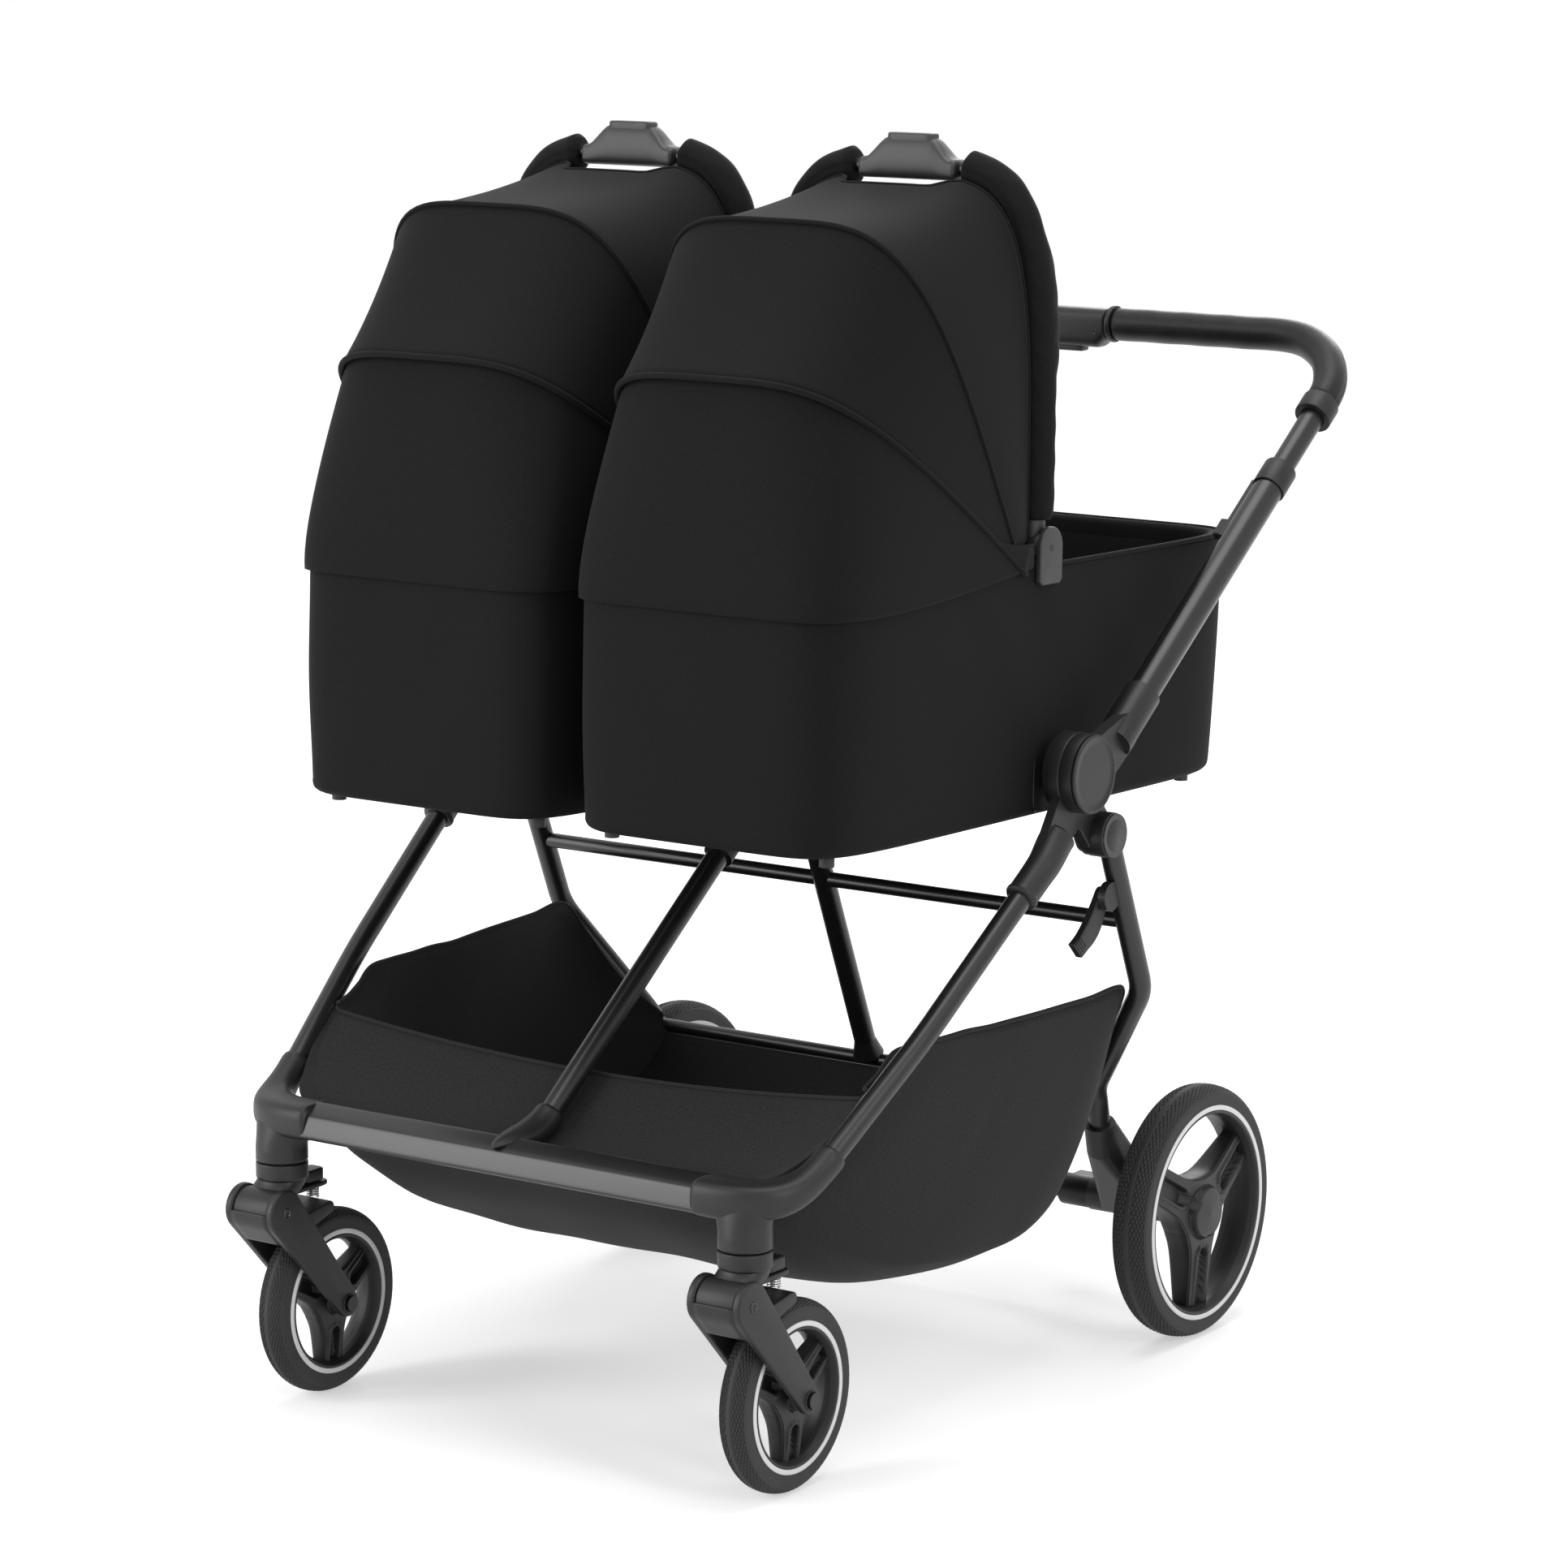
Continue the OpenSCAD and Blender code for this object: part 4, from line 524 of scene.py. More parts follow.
arch = {
    "halfW": 144.3, "reach": 347.0, "share": 0.44, "sleeveR": 16.8, "foot": 21.0, "cuffX": 62.0,
    "cuffFlare": 1.6, "bulge": 9.0, "bulgeLow": 140.0, "bulgeHigh": 300.0,
    "tubeR": 7.0, "tubeHalf": 86.0, "tubeDrop": 2.0,
    "gripHalfW": 56.0, "gripHalfD": 13.5, "gripLow": 334.0, "gripHigh": 354.0, "gripPeak": 373.0,
    "gripEnd": 5.0, "gripEndR": 5.2, "gripFlat": 24.0, "gripFall": 49.0, "gripNarrow": 0.26, "bossR": 13.5,
    "boss": [(127, 2), (128.5, 0), (138, 0), (139, 1.4), (140.5, 1.4), (141.5, 0), (154.5, 0), (156, 2)],
    "stubR": 11.0, "stubIn": 0.985, "stub": (4.0, 40.0),
    "key": (50.0, 17.0), "keyLow": 366.5, "keyHigh": 377.0, "keyEdge": 2.2,
}


# half sleeve: a superellipse arch whose section swells behind, with a sewn groove in front and a flared cuff
def sleevePart(side, half):
    c = arch
    u = np.linspace(0, 1, 3001)
    s = np.pi / 2 * u ** 1.6
    across, up = signedPower(np.sin(s), c["share"]), signedPower(np.cos(s), c["share"])
    full = xyz(c["halfW"] * across, 0.0, c["reach"] * up)
    full = full[(full[:, 0] > c["cuffX"]) & (full[:, 2] > c["foot"])]
    path = resample(full, 90)
    run = np.linspace(0, 1, 90)[:, None]
    a = turnOf(40)
    z = path[:, 2:3]
    # with the arch plane's normal as reference, an angle of 90 degrees faces the rear
    swell = c["bulge"] * smoothStep(c["bulgeLow"], c["bulgeLow"] + 45, z) \
        * (1 - smoothStep(c["bulgeHigh"] - 50, c["bulgeHigh"], z)) * np.exp(-((a - np.pi / 2) / 0.8) ** 2)
    groove = -1.3 * np.exp(-((a - 1.5 * np.pi) / 0.10) ** 2)
    cuff = c["cuffFlare"] * (1 - smoothStep(0, 0.05, run)) - 5 * (1 - smoothStep(0, 0.012, run))
    hem = -3 * smoothStep(0.985, 1, run)
    folds = 0.35 * np.sin(run * 70 + 2 * np.sin(3 * a)) * np.sin(2 * a)
    normal = hoodPlace([0, 1, 0], side) - hoodPlace([0, 0, 0], side)
    return sweep(hoodPlace(path * np.array([half, 1, 1]), side), c["sleeveR"] * mm, 40, normal,
                 (swell + groove + cuff + hem + folds) * mm)


# grip: rounded sections along the arch's top whose upper side rises to a flat in the middle
def gripPart(side):
    c = arch
    x = c["gripHalfW"] * np.sin(np.linspace(-1, 1, 61) * np.pi / 2)[:, None]
    ends = roundEnds(x, c["gripHalfW"], c["gripEnd"], c["gripEndR"], 0.02)
    rise = 1 - smoothStep(c["gripFlat"], c["gripFall"], np.abs(x))
    top = c["gripHigh"] + (c["gripPeak"] - c["gripHigh"]) * rise
    a = turnOf(40)
    up = signedPower(np.sin(a), 0.55)
    mid, half = (top + c["gripLow"]) / 2, (top - c["gripLow"]) / 2 * ends
    narrow = 1 - c["gripNarrow"] * np.clip(up, 0, 1) * smoothStep(c["gripHigh"], c["gripPeak"], top)
    y = c["gripHalfD"] * ends * signedPower(np.cos(a), 0.55) * narrow
    return surface(hoodPlace(xyz(x, y, mid + half * up), side), closeCols=True, capRows=True, mat=1)


for name, side in sides.items():
    c = arch
    parts = [sleevePart(side, half) for half in (-1, 1)]
    piece = buildPiece(f"arch_sleeve_{name}", parts, [finish["cloth"]], f"carry_arch_{name}",
                       [f"carry_arch_{name}"])
    bar = xyz(np.linspace(-c["tubeHalf"], c["tubeHalf"], 12), 0.0, c["reach"] - c["tubeDrop"])
    parts = [gripPart(side), sweep(hoodPlace(bar, side), c["tubeR"] * mm, 20, (0, 1, 0))]
    for half in (-1, 1):  # pivot barrel with a groove, and the stub that goes up into the sleeve
        x, inset = np.array(c["boss"]).T[..., None]
        r, a = c["bossR"] - inset, turnOf(40)
        barrel = xyz(half * x, r * np.cos(a), r * np.sin(a))
        parts.append(surface(hoodPlace(barrel, side), closeCols=True, capRows=True, mat=1))
        stub = xyz(half * c["halfW"] * c["stubIn"], 0.0, np.linspace(*c["stub"], 8))
        parts.append(sweep(hoodPlace(stub, side), c["stubR"] * mm, 24, (0, 1, 0), mat=1))
    buildPiece(f"carry_grip_{name}", parts, [finish["frame"], finish["grey"]], f"carry_arch_{name}")
    key = raised(roundedOutline(*c["key"]), softLevels(c["keyLow"], c["keyHigh"], c["keyEdge"]),
                 lambda p, side=side: hoodPlace(p, side))
    buildPiece(f"carry_key_{name}", [key], [finish["grey"]], f"carry_button_{name}",
               [f"carry_button_{name}"])
print("carry arches made")


# hood brackets: round-topped ears on the cot's sides

ear = {"depth": 38.0, "low": -35.0, "top": 19.0, "inner": 157.0, "outer": 163.6, "edge": 1.8, "corner": 4.0,
       "screwR": 3.2, "screw": [(-1, 0), (0.5, 0), (0.9, 0.6), (0.9, 1.5), (-0.3, 1.7)]}


# ear: a half circle on straight sides, with cut corners at its foot
def earOutline():
    c = ear
    r, low, cut = c["depth"] / 2, c["low"], c["corner"]
    a = np.linspace(0, np.pi, 40)
    arc = np.stack([r * np.cos(a), c["top"] - r + r * np.sin(a)], -1)
    foot = np.array([[-r, low + cut], [-r + cut, low], [r - cut, low], [r, low + cut]])
    return resample(np.concatenate([arc, foot]), 90, closed=True)


for name, side in sides.items():
    c, parts = ear, []
    for half in (-1, 1):
        place = wallPlace(hoodPlace, side, half)
        parts.append(raised(earOutline(), softLevels(c["inner"], c["outer"], c["edge"]), place))
        screw = ringLine((0, 0), c["screwR"], 24)
        parts.append(raised(screw, levelsFrom(c["outer"], c["screw"]), place, mat=1))
    buildPiece(f"hood_ears_{name}", parts, [finish["grey"], finish["bolt"]], f"cot_{name}",
               [f"hood_brackets_{name}"])
print("brackets made")


# cots

cot = {
    "w": 312.0, "floorW": 305.0, "front": 364.0, "rear": 356.0, "rearDraw": 10.0, "rim": 196.0,
    "floor": -42.0, "share": 0.25, "cols": 220, "wall": 12.0, "bulge": 1.6, "inFloor": -31.0, "fold": 2.4,
    "pipeR": 2.2, "footEdge": 9.0, "rimEdge": 6.0, "wallRows": 22, "liningRows": 19,
    "plate": (62.0, 74.0, 0.3), "plateDrop": 2.0, "plateUp": 0.18,
    "plugR": 12.0, "plugReach": {-1: 5.0, 1: 13.5},
}


# ring round a cot at a height: a superellipse of even spacing, drawn in by an inset
def cotRing(w, inset, cols=None):
    c = cot
    up = (w - c["floor"]) / (c["rim"] - c["floor"])
    half = (c["floorW"] + (c["w"] - c["floorW"]) * up) / 2 - inset
    front, rear = c["front"] - inset, c["rear"] - c["rearDraw"] * (1 - up) - inset
    a = turnOf(4000)
    ring = xyz(half * signedPower(np.cos(a), c["share"]),
               (rear - front) / 2 + (rear + front) / 2 * signedPower(np.sin(a), c["share"]), w)
    return resample(ring, cols or c["cols"], closed=True)


# heights and insets of the rings: floor, lower edge, outer wall, rim, lining and inner floor
def cotLevels():
    c = cot
    foot, rim = c["floor"] + c["footEdge"], c["rim"] - c["rimEdge"]
    levels = [(c["floor"], 60), (c["floor"], 30), (c["floor"], 14)]
    for t in np.linspace(0, np.pi / 2, 6)[1:]:
        levels.append((c["floor"] + c["footEdge"] * (1 - math.cos(t)), c["footEdge"] * (1 - math.sin(t))))
    wall = slice(len(levels), len(levels) + c["wallRows"])
    for t in np.linspace(0.02, 1, c["wallRows"]):
        levels.append((foot + (rim - foot) * t, -c["bulge"] * math.sin(math.pi * t)))
    for t in np.linspace(0, np.pi, 9)[1:]:
        levels.append((rim + c["rimEdge"] * math.sin(t), c["rimEdge"] * (1 - math.cos(t))))
    lining = slice(len(levels), len(levels) + c["liningRows"])
    for t in np.linspace(0, 1, c["liningRows"] + 1)[1:]:
        levels.append((rim + (c["inFloor"] + 8 - rim) * t, c["wall"] + 0.5))
    levels += levelsFrom(c["inFloor"], [(3, c["wall"] + 3), (0, c["wall"] + 9), (0, 40), (0, 80)])
    return levels, wall, lining


levels, wall, lining = cotLevels()
shell = np.stack([cotRing(w, inset) for w, inset in levels])
# soft drift of the cover and hanging folds of the lining, both as waves of the run and the height
run = turnOf(cot["cols"])
share = np.clip((shell[..., 2] - cot["floor"]) / (cot["rim"] - cot["floor"]), 0, 1)
cover = 0.45 * np.sin(7 * run + 5 * share) * np.sin(4 * share + 1.3 * np.sin(3 * run)) \
    + 0.3 * np.sin(19 * run + 9 * share)
liner = -cot["fold"] * np.clip(np.sin(17 * run + 2.2 * np.sin(5 * run) + 1.5 * share), -0.2, 1) \
    * np.sin(np.pi * np.clip(share, 0.02, 0.98)) ** 0.6
cotMiddle = (cot["rear"] - cot["front"]) / 2
outward = unit((shell - np.array([0, cotMiddle, 0])) * np.array([1, 1, 0]))
for rows, move in ((wall, cover), (lining, liner)):
    shell[rows] += outward[rows] * move[rows][..., None]

for name, side in sides.items():
    c = cot
    rim = cotRing(c["rim"] - 1, 0.4)
    back = rim[rim[:, 1] > cotMiddle]
    back = back[np.argsort(np.arctan2(back[:, 1] + 60, back[:, 0]))]
    parts = [surface(cotPlace(shell, side), closeCols=True, capRows=True),
             sweep(cotPlace(resample(back, 140), side), c["pipeR"] * mm, 10, (0, 0, 1))]
    wallX = (c["floorW"] + (c["w"] - c["floorW"]) * c["plateUp"]) / 2
    for half in (-1, 1):  # side plate and plug that sit in the hub's cup
        place = wallPlace(cotPlace, side, half)
        plate = roundedOutline(*c["plate"]) - np.array([0, c["plateDrop"]])
        parts.append(raised(plate, softLevels(wallX - 2, wallX + 1.6, 0.8), place, mat=2))
        plug = ringLine((0, 0), c["plugR"], 40)
        parts.append(raised(plug, softLevels(wallX - 4, wallX + c["plugReach"][half], 0.8), place, mat=2))
    piece = buildPiece(f"cot_cover_{name}", parts, [finish["cloth"], finish["lining"], finish["plastic"]],
                       f"cot_{name}", [f"cot_shell_{name}"])
    ids = np.zeros(len(piece.data.polygons), np.int32)
    piece.data.polygons.foreach_get("material_index", ids)
    ids[lining.start * c["cols"]:(len(levels) - 1) * c["cols"]] = 1
    piece.data.polygons.foreach_set("material_index", ids)
print("cots made")


# mattresses: puffed by a cloth simulation

bed = {"inset": 24.0, "low": -30.0, "thick": 30.0, "edge": 10.0, "cols": 120, "voxel": 0.0075,
       "pressure": 3.0, "cap": 0.007, "drop": 0.0008, "frames": 18}


# pad: rings of the cot's outline, a half oval at the edge and a crowned top
def mattressGrid():
    c = bed
    lo, hi = c["low"], c["low"] + c["thick"]
    levels = [(lo + 0.8, c["inset"] + 60), (lo + 0.8, c["inset"] + 20)]
    for t in np.linspace(-np.pi / 2, np.pi / 2, 9):
        height = (lo + hi) / 2 + (hi - lo) / 2 * math.sin(t)
        levels.append((height, c["inset"] + c["edge"] * (1 - math.cos(t))))
    levels += [(hi + 1, c["inset"] + 30), (hi + 2.5, c["inset"] + 60), (hi + 3, c["inset"] + 90)]
    return np.stack([cotRing(w, i, c["cols"]) for w, i in levels])


# pressure moves each point of the pad outward, up to a cap, and its underside hardly at all
def puff(obj):
    c = bed
    # an even mesh lets the pressure swell the pad evenly
    bpy.context.view_layer.objects.active = obj
    remesh = obj.modifiers.new("even", "REMESH")
    remesh.mode = "VOXEL"
    remesh.voxel_size = c["voxel"]
    bpy.ops.object.modifier_apply(modifier=remesh.name)
    rest = np.empty(len(obj.data.vertices) * 3, np.float32)
    obj.data.vertices.foreach_get("co", rest)
    cloth = obj.modifiers.new("puff", "CLOTH")
    cloth.settings.use_pressure = True
    cloth.settings.uniform_pressure_force = c["pressure"]
    cloth.settings.effector_weights.gravity = 0
    cloth.settings.quality = 5
    cloth.point_cache.frame_start, cloth.point_cache.frame_end = 1, c["frames"]
    for f in range(1, c["frames"] + 1):
        bpy.context.scene.frame_set(f)
    bpy.ops.object.modifier_apply(modifier=cloth.name)
    now = np.empty_like(rest)
    obj.data.vertices.foreach_get("co", now)
    move = (now - rest).reshape(-1, 3)
    far = np.linalg.norm(move, axis=1, keepdims=True)
    move *= np.minimum(1, c["cap"] / np.maximum(far, 1e-9))
    low = rest.reshape(-1, 3)
    floor = low[:, 2].min()
    new = low + move
    new[:, 2] = np.maximum(new[:, 2], floor - c["drop"])
    obj.data.vertices.foreach_set("co", new.astype(np.float32).ravel())
    bpy.context.scene.frame_set(1)
    obj.data.polygons.foreach_set("use_smooth", np.ones(len(obj.data.polygons), bool))
    obj.data.update()


# a remeshed pad has no UV, so the weave lies on it seen from above
def flatUv(mesh):
    layer = mesh.uv_layers.get("cut") or mesh.uv_layers.new(name="cut")
    co = np.empty(len(mesh.vertices) * 3, np.float32)
    mesh.vertices.foreach_get("co", co)
    vert = np.empty(len(mesh.loops), np.int32)
    mesh.loops.foreach_get("vertex_index", vert)
    layer.data.foreach_set("uv", co.reshape(-1, 3)[vert, :2].ravel())


for name, side in sides.items():
    part = surface(cotPlace(mattressGrid(), side), closeCols=True, capRows=True)
    piece = buildPiece(f"mattress_pad_{name}", [part], [finish["lining"]], None,
                       [f"mattress_{name}"])
    puff(piece)
    flatUv(piece.data)
    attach(piece, f"cot_{name}")
print("mattresses made")


# basket

# its lines are shares of the way back, up and across
basket = {
    "halfW": 311.0, "frontY": -40.7, "rearY": 529.6, "floorZ": 131.0, "frontZ": 357.0, "thick": 2.0,
    "rows": 84, "sideCols": 22, "floorCols": 57, "round": 34.0, "hemR": 2.3, "flatW": 1.15, "spare": 1.2,
    "ties": [(0, 120, 300), (0, 525, 300)],
    "bottomShares": [
        (0.19, 1, 0.98), (0.1, 0.84, 0.955), (0.03, 0.72, 0.90), (0, 0.62, 0.76), (0.03, 0.52, 0.77),
        (0.08, 0.4, 0.81), (0.16, 0.27, 0.84), (0.27, 0.13, 0.87), (0.38, 0.04, 0.89), (0.5, 0, 0.9),
        (0.63, 0, 0.9), (0.76, 0.05, 0.9), (0.88, 0.18, 0.88), (0.96, 0.37, 0.83), (1, 0.53, 0.8)],
    "hemShares": [
        (0.2, 1.04, 0.985), (0.24, 1.08, 0.985), (0.28, 1.15, 0.99), (0.34, 1.155, 1), (0.41, 1.15, 1.01),
        (0.47, 1.15, 1.02), (0.53, 1.14, 1.03), (0.59, 1.14, 1.04), (0.65, 1.14, 1.05), (0.72, 1.14, 1.06),
        (0.80, 1.14, 1.075), (0.895, 1.145, 1.085), (0.925, 1, 1.03), (0.95, 0.79, 0.92), (1, 0.62, 0.82)],
    "dip": 20.0, "dipShares": (0.9, 1, 0.4, 0),
}


# smooth curve through rows of shares: a piece of the third degree between each two, led by their neighbours
def smoothRows(table, count):
    table = np.asarray(table, float)
    t = np.linspace(0, len(table) - 1, count)
    k = np.clip(t.astype(int), 0, len(table) - 2)
    f = (t - k)[:, None]
    p0, p1 = table[np.maximum(k - 1, 0)], table[k]
    p2, p3 = table[k + 1], table[np.minimum(k + 2, len(table) - 1)]
    return 0.5 * (2 * p1 + (p2 - p0) * f + (2 * p0 - 5 * p1 + 4 * p2 - p3) * f ** 2
                  + (3 * p1 - p0 - 3 * p2 + p3) * f ** 3)


# sling: straight sides from the hems to the floor's edges, a floor that rounds up to them, and shallow waves
def basketGrid():
    c = basket
    low, hem = smoothRows(c["bottomShares"], c["rows"]), smoothRows(c["hemShares"], c["rows"])
    last = len(c["hemShares"]) - 1
    k = np.linspace(0, last, c["rows"])[:, None]
    mid = np.sin(np.pi * k / last) ** 2

    def place(row, across):
        return xyz(across * row[..., 2] * c["halfW"], c["frontY"] + (c["rearY"] - c["frontY"]) * row[..., 0],
                   c["floorZ"] + (c["frontZ"] - c["floorZ"]) * row[..., 1])
    up = np.linspace(0, 1, c["sideCols"])[:, None]
    side = hem[:, None] * (1 - up) + low[:, None] * up
    up = up[:, 0]
    side[..., 2] += np.sin(np.pi * up) * (0.02 + 0.03 * np.sin(np.pi * np.clip(k / 8, 0, 1)))
    u = np.sin(np.linspace(-1, 1, c["floorCols"]) * np.pi / 2)
    floor = place(low[:, None], u)
    floor[..., 2] += c["round"] * mid * np.abs(u) ** 8
    floor[..., 2] -= c["dip"] * np.interp(k, np.arange(len(c["dipShares"])), c["dipShares"]) * (1 - u ** 2)
    left, right = place(side, -1.0), place(side[:, ::-1], 1.0)
    left[..., 2] += c["round"] * mid * up ** 6
    right[..., 2] += c["round"] * mid * up[::-1] ** 6
    grid = np.concatenate([left[:, :-1], floor, right[:, 1:]], 1)
    # soft sag of the floor and pull lines towards the corners
    v = np.linspace(0, 1, grid.shape[1])
    sag = 1.1 * np.sin(34 * v + 3 * np.sin(k)) + 0.8 * np.sin(71 * v + k)
    grid[..., 2] += mid * sag * np.exp(-((v - 0.5) / 0.3) ** 2)
    grid[..., 0] += np.sign(v - 0.5) * mid ** 2 * 1.1 * np.sin(1.1 * k + 9 * np.abs(v - 0.5))
    return grid


cut = toRow(basketGrid())
parts = [thickSheet(cut, basket["thick"] * mm, flip=True)]
for line in (cut[:, 0], cut[:, -1], cut[0], cut[-1]):  # rolled hems
    parts.append(sweep(resample(line, 120), basket["hemR"] * mm, 10, (0.3, 0.5, 0.81)))
piece = buildPiece("basket_cloth", parts, [finish["basketCloth"]], None, ["basket"])
start, end = toRow(basket["ties"])
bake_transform(piece)
print("basket made")


# wheels

wheel = {
    "front": {"r": 90.0, "w": 33.0, "bead": 69.2, "x": 270.0, "y": 0.0, "z": 90.0, "cells": 66,
              "ringR": 68.2, "ringW": 5.0, "ringX": 14.6, "spoke": 13.5, "hubR": 24.0, "hubFace": 13.0,
              "rimFace": 7.0, "ribY": 8.6, "ribRoot": 33.0, "capR": 12.0, "capRise": 6.5, "lipX": 14.4},
    "rear": {"r": 127.5, "w": 44.0, "bead": 106.7, "x": 320.0, "y": 638.0, "z": 127.5, "cells": 92,
             "ringR": 105.8, "ringW": 5.0, "ringX": 19.4, "spoke": 18.5, "hubR": 32.0, "hubFace": 17.5,
             "rimFace": 9.0, "ribY": 11.0, "ribRoot": 46.0, "capR": 26.0, "capRise": 6.4, "lipX": 19.0},
}
tread = {"rows": 112, "perCell": 6, "lean": 5.2, "deep": 2.4, "ribAt": 0.085, "grooveDeep": 1.2,
         "beadIn": 2.5}
spokes = {"count": 3, "fillet": 3.2, "rimGap": 6.5, "ribRise": 1.7, "slotDeep": 8.0, "slotFloor": 1.5,
          "capGroove": 1.3, "edgeDrop": 1.8}


# points round a wheel's axle, from their place across, radius and angle
def wheelPlace(c, side, x, r, th):
    return toRow(xyz(side * c["x"] + x, c["y"] + r * np.cos(th), c["z"] + r * np.sin(th)))


# tyre: a round section about the axle, with diamonds raised in two bands each side of a plain rib
def tyrePart(c, side):
    k = tread
    a = np.linspace(-1, 1, k["rows"])[:, None] * np.pi / 2
    th = turnOf(c["cells"] * k["perCell"])
    off = np.abs(a) / (np.pi / 2)
    x = c["w"] / 2 * (1 - 0.13 * np.sin(a) ** 10) * signedPower(np.sin(a), 0.92)
    r = c["bead"] + (c["r"] - c["bead"]) * np.abs(np.cos(a)) ** 0.62
    band = smoothStep(0.09, 0.12, off) * (1 - smoothStep(0.56, 0.62, off))
    u, v = th * c["cells"] / (2 * np.pi), a * k["lean"]
    diamond = np.abs(np.sin(np.pi * (u + v))) * np.abs(np.sin(np.pi * (u - v)))
    groove = np.exp(-((off - k["ribAt"]) / 0.014) ** 2)
    r = r - k["deep"] * band * (1 - np.clip(diamond * 2.0, 0, 1)) - k["grooveDeep"] * groove
    x = np.concatenate([x, x[[-1, 0]]])
    r = np.concatenate([r, r[[-1, 0]] * (c["bead"] - k["beadIn"]) / c["bead"]])
    return surface(wheelPlace(c, side, x, r, th), closeRows=True, closeCols=True)


# ring on a tyre's side: a flat oval section carried round the wheel
def ringPart(c, side, face):
    a = turnOf(12)
    r = c["ringR"] + c["ringW"] / 2 * signedPower(np.cos(a), 0.6)
    x = face * (c["ringX"] + 0.8 * signedPower(np.sin(a), 0.6))
    return surface(wheelPlace(c, side, x, r, turnOf(160)[:, None]), closeRows=True, closeCols=True)


# spoke plate on a polar grid: three wide spokes run into a round hub through fillets. Its faces dish from hub
# to rim, a U-shaped edge stands up on each spoke round a deep slot, and a cap stands on the hub
def spokePlate(c, side):
    k = spokes
    th = turnOf(420)
    apart = np.pi / k["count"]
    rel = (th + np.pi / 2 + apart) % (2 * apart) - apart  # one spoke points straight down
    rim = c["bead"] - k["rimGap"]
    width = c["spoke"] / np.maximum(np.sin(np.abs(rel)), 1e-3)
    edge = np.minimum(rim, (width ** k["fillet"] + c["hubR"] ** k["fillet"]) ** (1 / k["fillet"]))
    t = np.sin(np.linspace(0.004, 1, 60) * np.pi / 2)[:, None]
    r = t * (c["hubR"] + (edge - c["hubR"]) * smoothStep(0, 0.4, t))
    along, across = r * np.cos(rel), r * np.sin(rel)
    off = np.where(along > c["ribRoot"], np.abs(across), np.hypot(along - c["ribRoot"], across))
    rib = k["ribRise"] * (1 - smoothStep(1.3, 2.2, np.abs(off - c["ribY"])))
    base = c["hubFace"] + (c["rimFace"] - c["hubFace"]) * r / rim
    deep = np.minimum(k["slotDeep"], base - k["slotFloor"])
    slot = -deep * (1 - smoothStep(c["ribY"] - 3.0, c["ribY"] - 1.9, off))
    cap = c["capRise"] * (1 - smoothStep(c["capR"] - 1.0, c["capR"], r))
    groove = -k["capGroove"] * np.exp(-((r - c["capR"] - 0.8) / 0.7) ** 2)
    face = base + rib + slot + cap + groove - k["edgeDrop"] * smoothStep(0.955, 1, t)
    wall = np.array([1, 0.33, -0.33, -1])[:, None] * (face[-1] - 1)
    x = np.concatenate([face, wall, -face[::-1]])
    r = np.concatenate([r, np.broadcast_to(edge + 0.6, wall.shape), r[::-1]])
    return surface(wheelPlace(c, side, side * x, r, th), closeCols=True, capRows=True)


# rim barrel: a closed profile turned about the axle, waisted in the middle with a rounded lip at each side
def barrelPart(c, side):
    b, l = c["ringR"] - c["ringW"] / 2 + 0.6, c["lipX"]
    half = [(l, b - 0.4), (l + 0.9, b - 1.6), (l + 0.6, b - 3.2), (l - 1.5, b - 4.4), (l * 0.6, b - 6.5),
            (l * 0.25, b - 7.6)]
    x, r = resample([(-x, r) for x, r in half] + half[::-1], 40).T[..., None]
    return surface(wheelPlace(c, side, x, r, turnOf(160)), closeRows=True, closeCols=True)


for name, side in sides.items():
    for end, c in wheel.items():
        body = f"{end}_wheel_{name}"
        buildPiece(f"{end}_tread_{name}", [tyrePart(c, side)], [finish["tyre"]], body,
                   [f"{end}_tyre_{name}"])
        rings = [ringPart(c, side, face) for face in (-1, 1)]
        buildPiece(f"{end}_band_{name}", rings, [finish["ring"]], body)
        buildPiece(f"{end}_dish_{name}", [barrelPart(c, side), spokePlate(c, side)], [finish["plastic"]],
                   body, [f"{end}_rim_{name}"])
print("wheels made")


# front corner castings: a section carried from the bar's end round to the leg, over a column for the caster

corner = {
    "bar": (226.0, -62.5, 286.0), "pull": (300.0, -66.0, 285.0), "legFoot": (311.0, 0.0, 308.6),
    "legDir": (0.13, 0.796, 0.591), "legPull": 42.0, "legOn": 16.0, "halfD": 22.6, "halfH": 17.6,
    "collarR": 14.4, "column": (270.0, -62.0), "columnR": 25.0, "columnLow": 242.4,
    "flareLow": 254.0, "flareHigh": 284.0,
}
crossBar = {
    "section": [(-84.8, 275), (-79.0, 295.2), (-58, 304.6), (-43, 299), (-41.2, 277), (-46, 271.4),
                (-80, 271.4)],
    "cuts": (0.13, 0.25, 0.25, 0.25), "halfW": 230.0, "bevel": 0.9985,
}
shoe = {"start": (0.0, -81.5, 298.6), "pull": (0.0, -58.0, 304.0), "legFoot": (0.0, -16.0, 296.7),
        "legDir": (0.0, 0.803, 0.597), "legPull": 10.0, "legOn": 27.0, "swell": 13.6, "belly": 2.6}


# radius of a superellipse in a direction: the powered shares of both half axes, summed and rooted
def ovalRadius(a, halfW, halfH, power):
    return ((np.abs(np.cos(a)) / halfW) ** power + (np.abs(np.sin(a)) / halfH) ** power) ** (-1 / power)


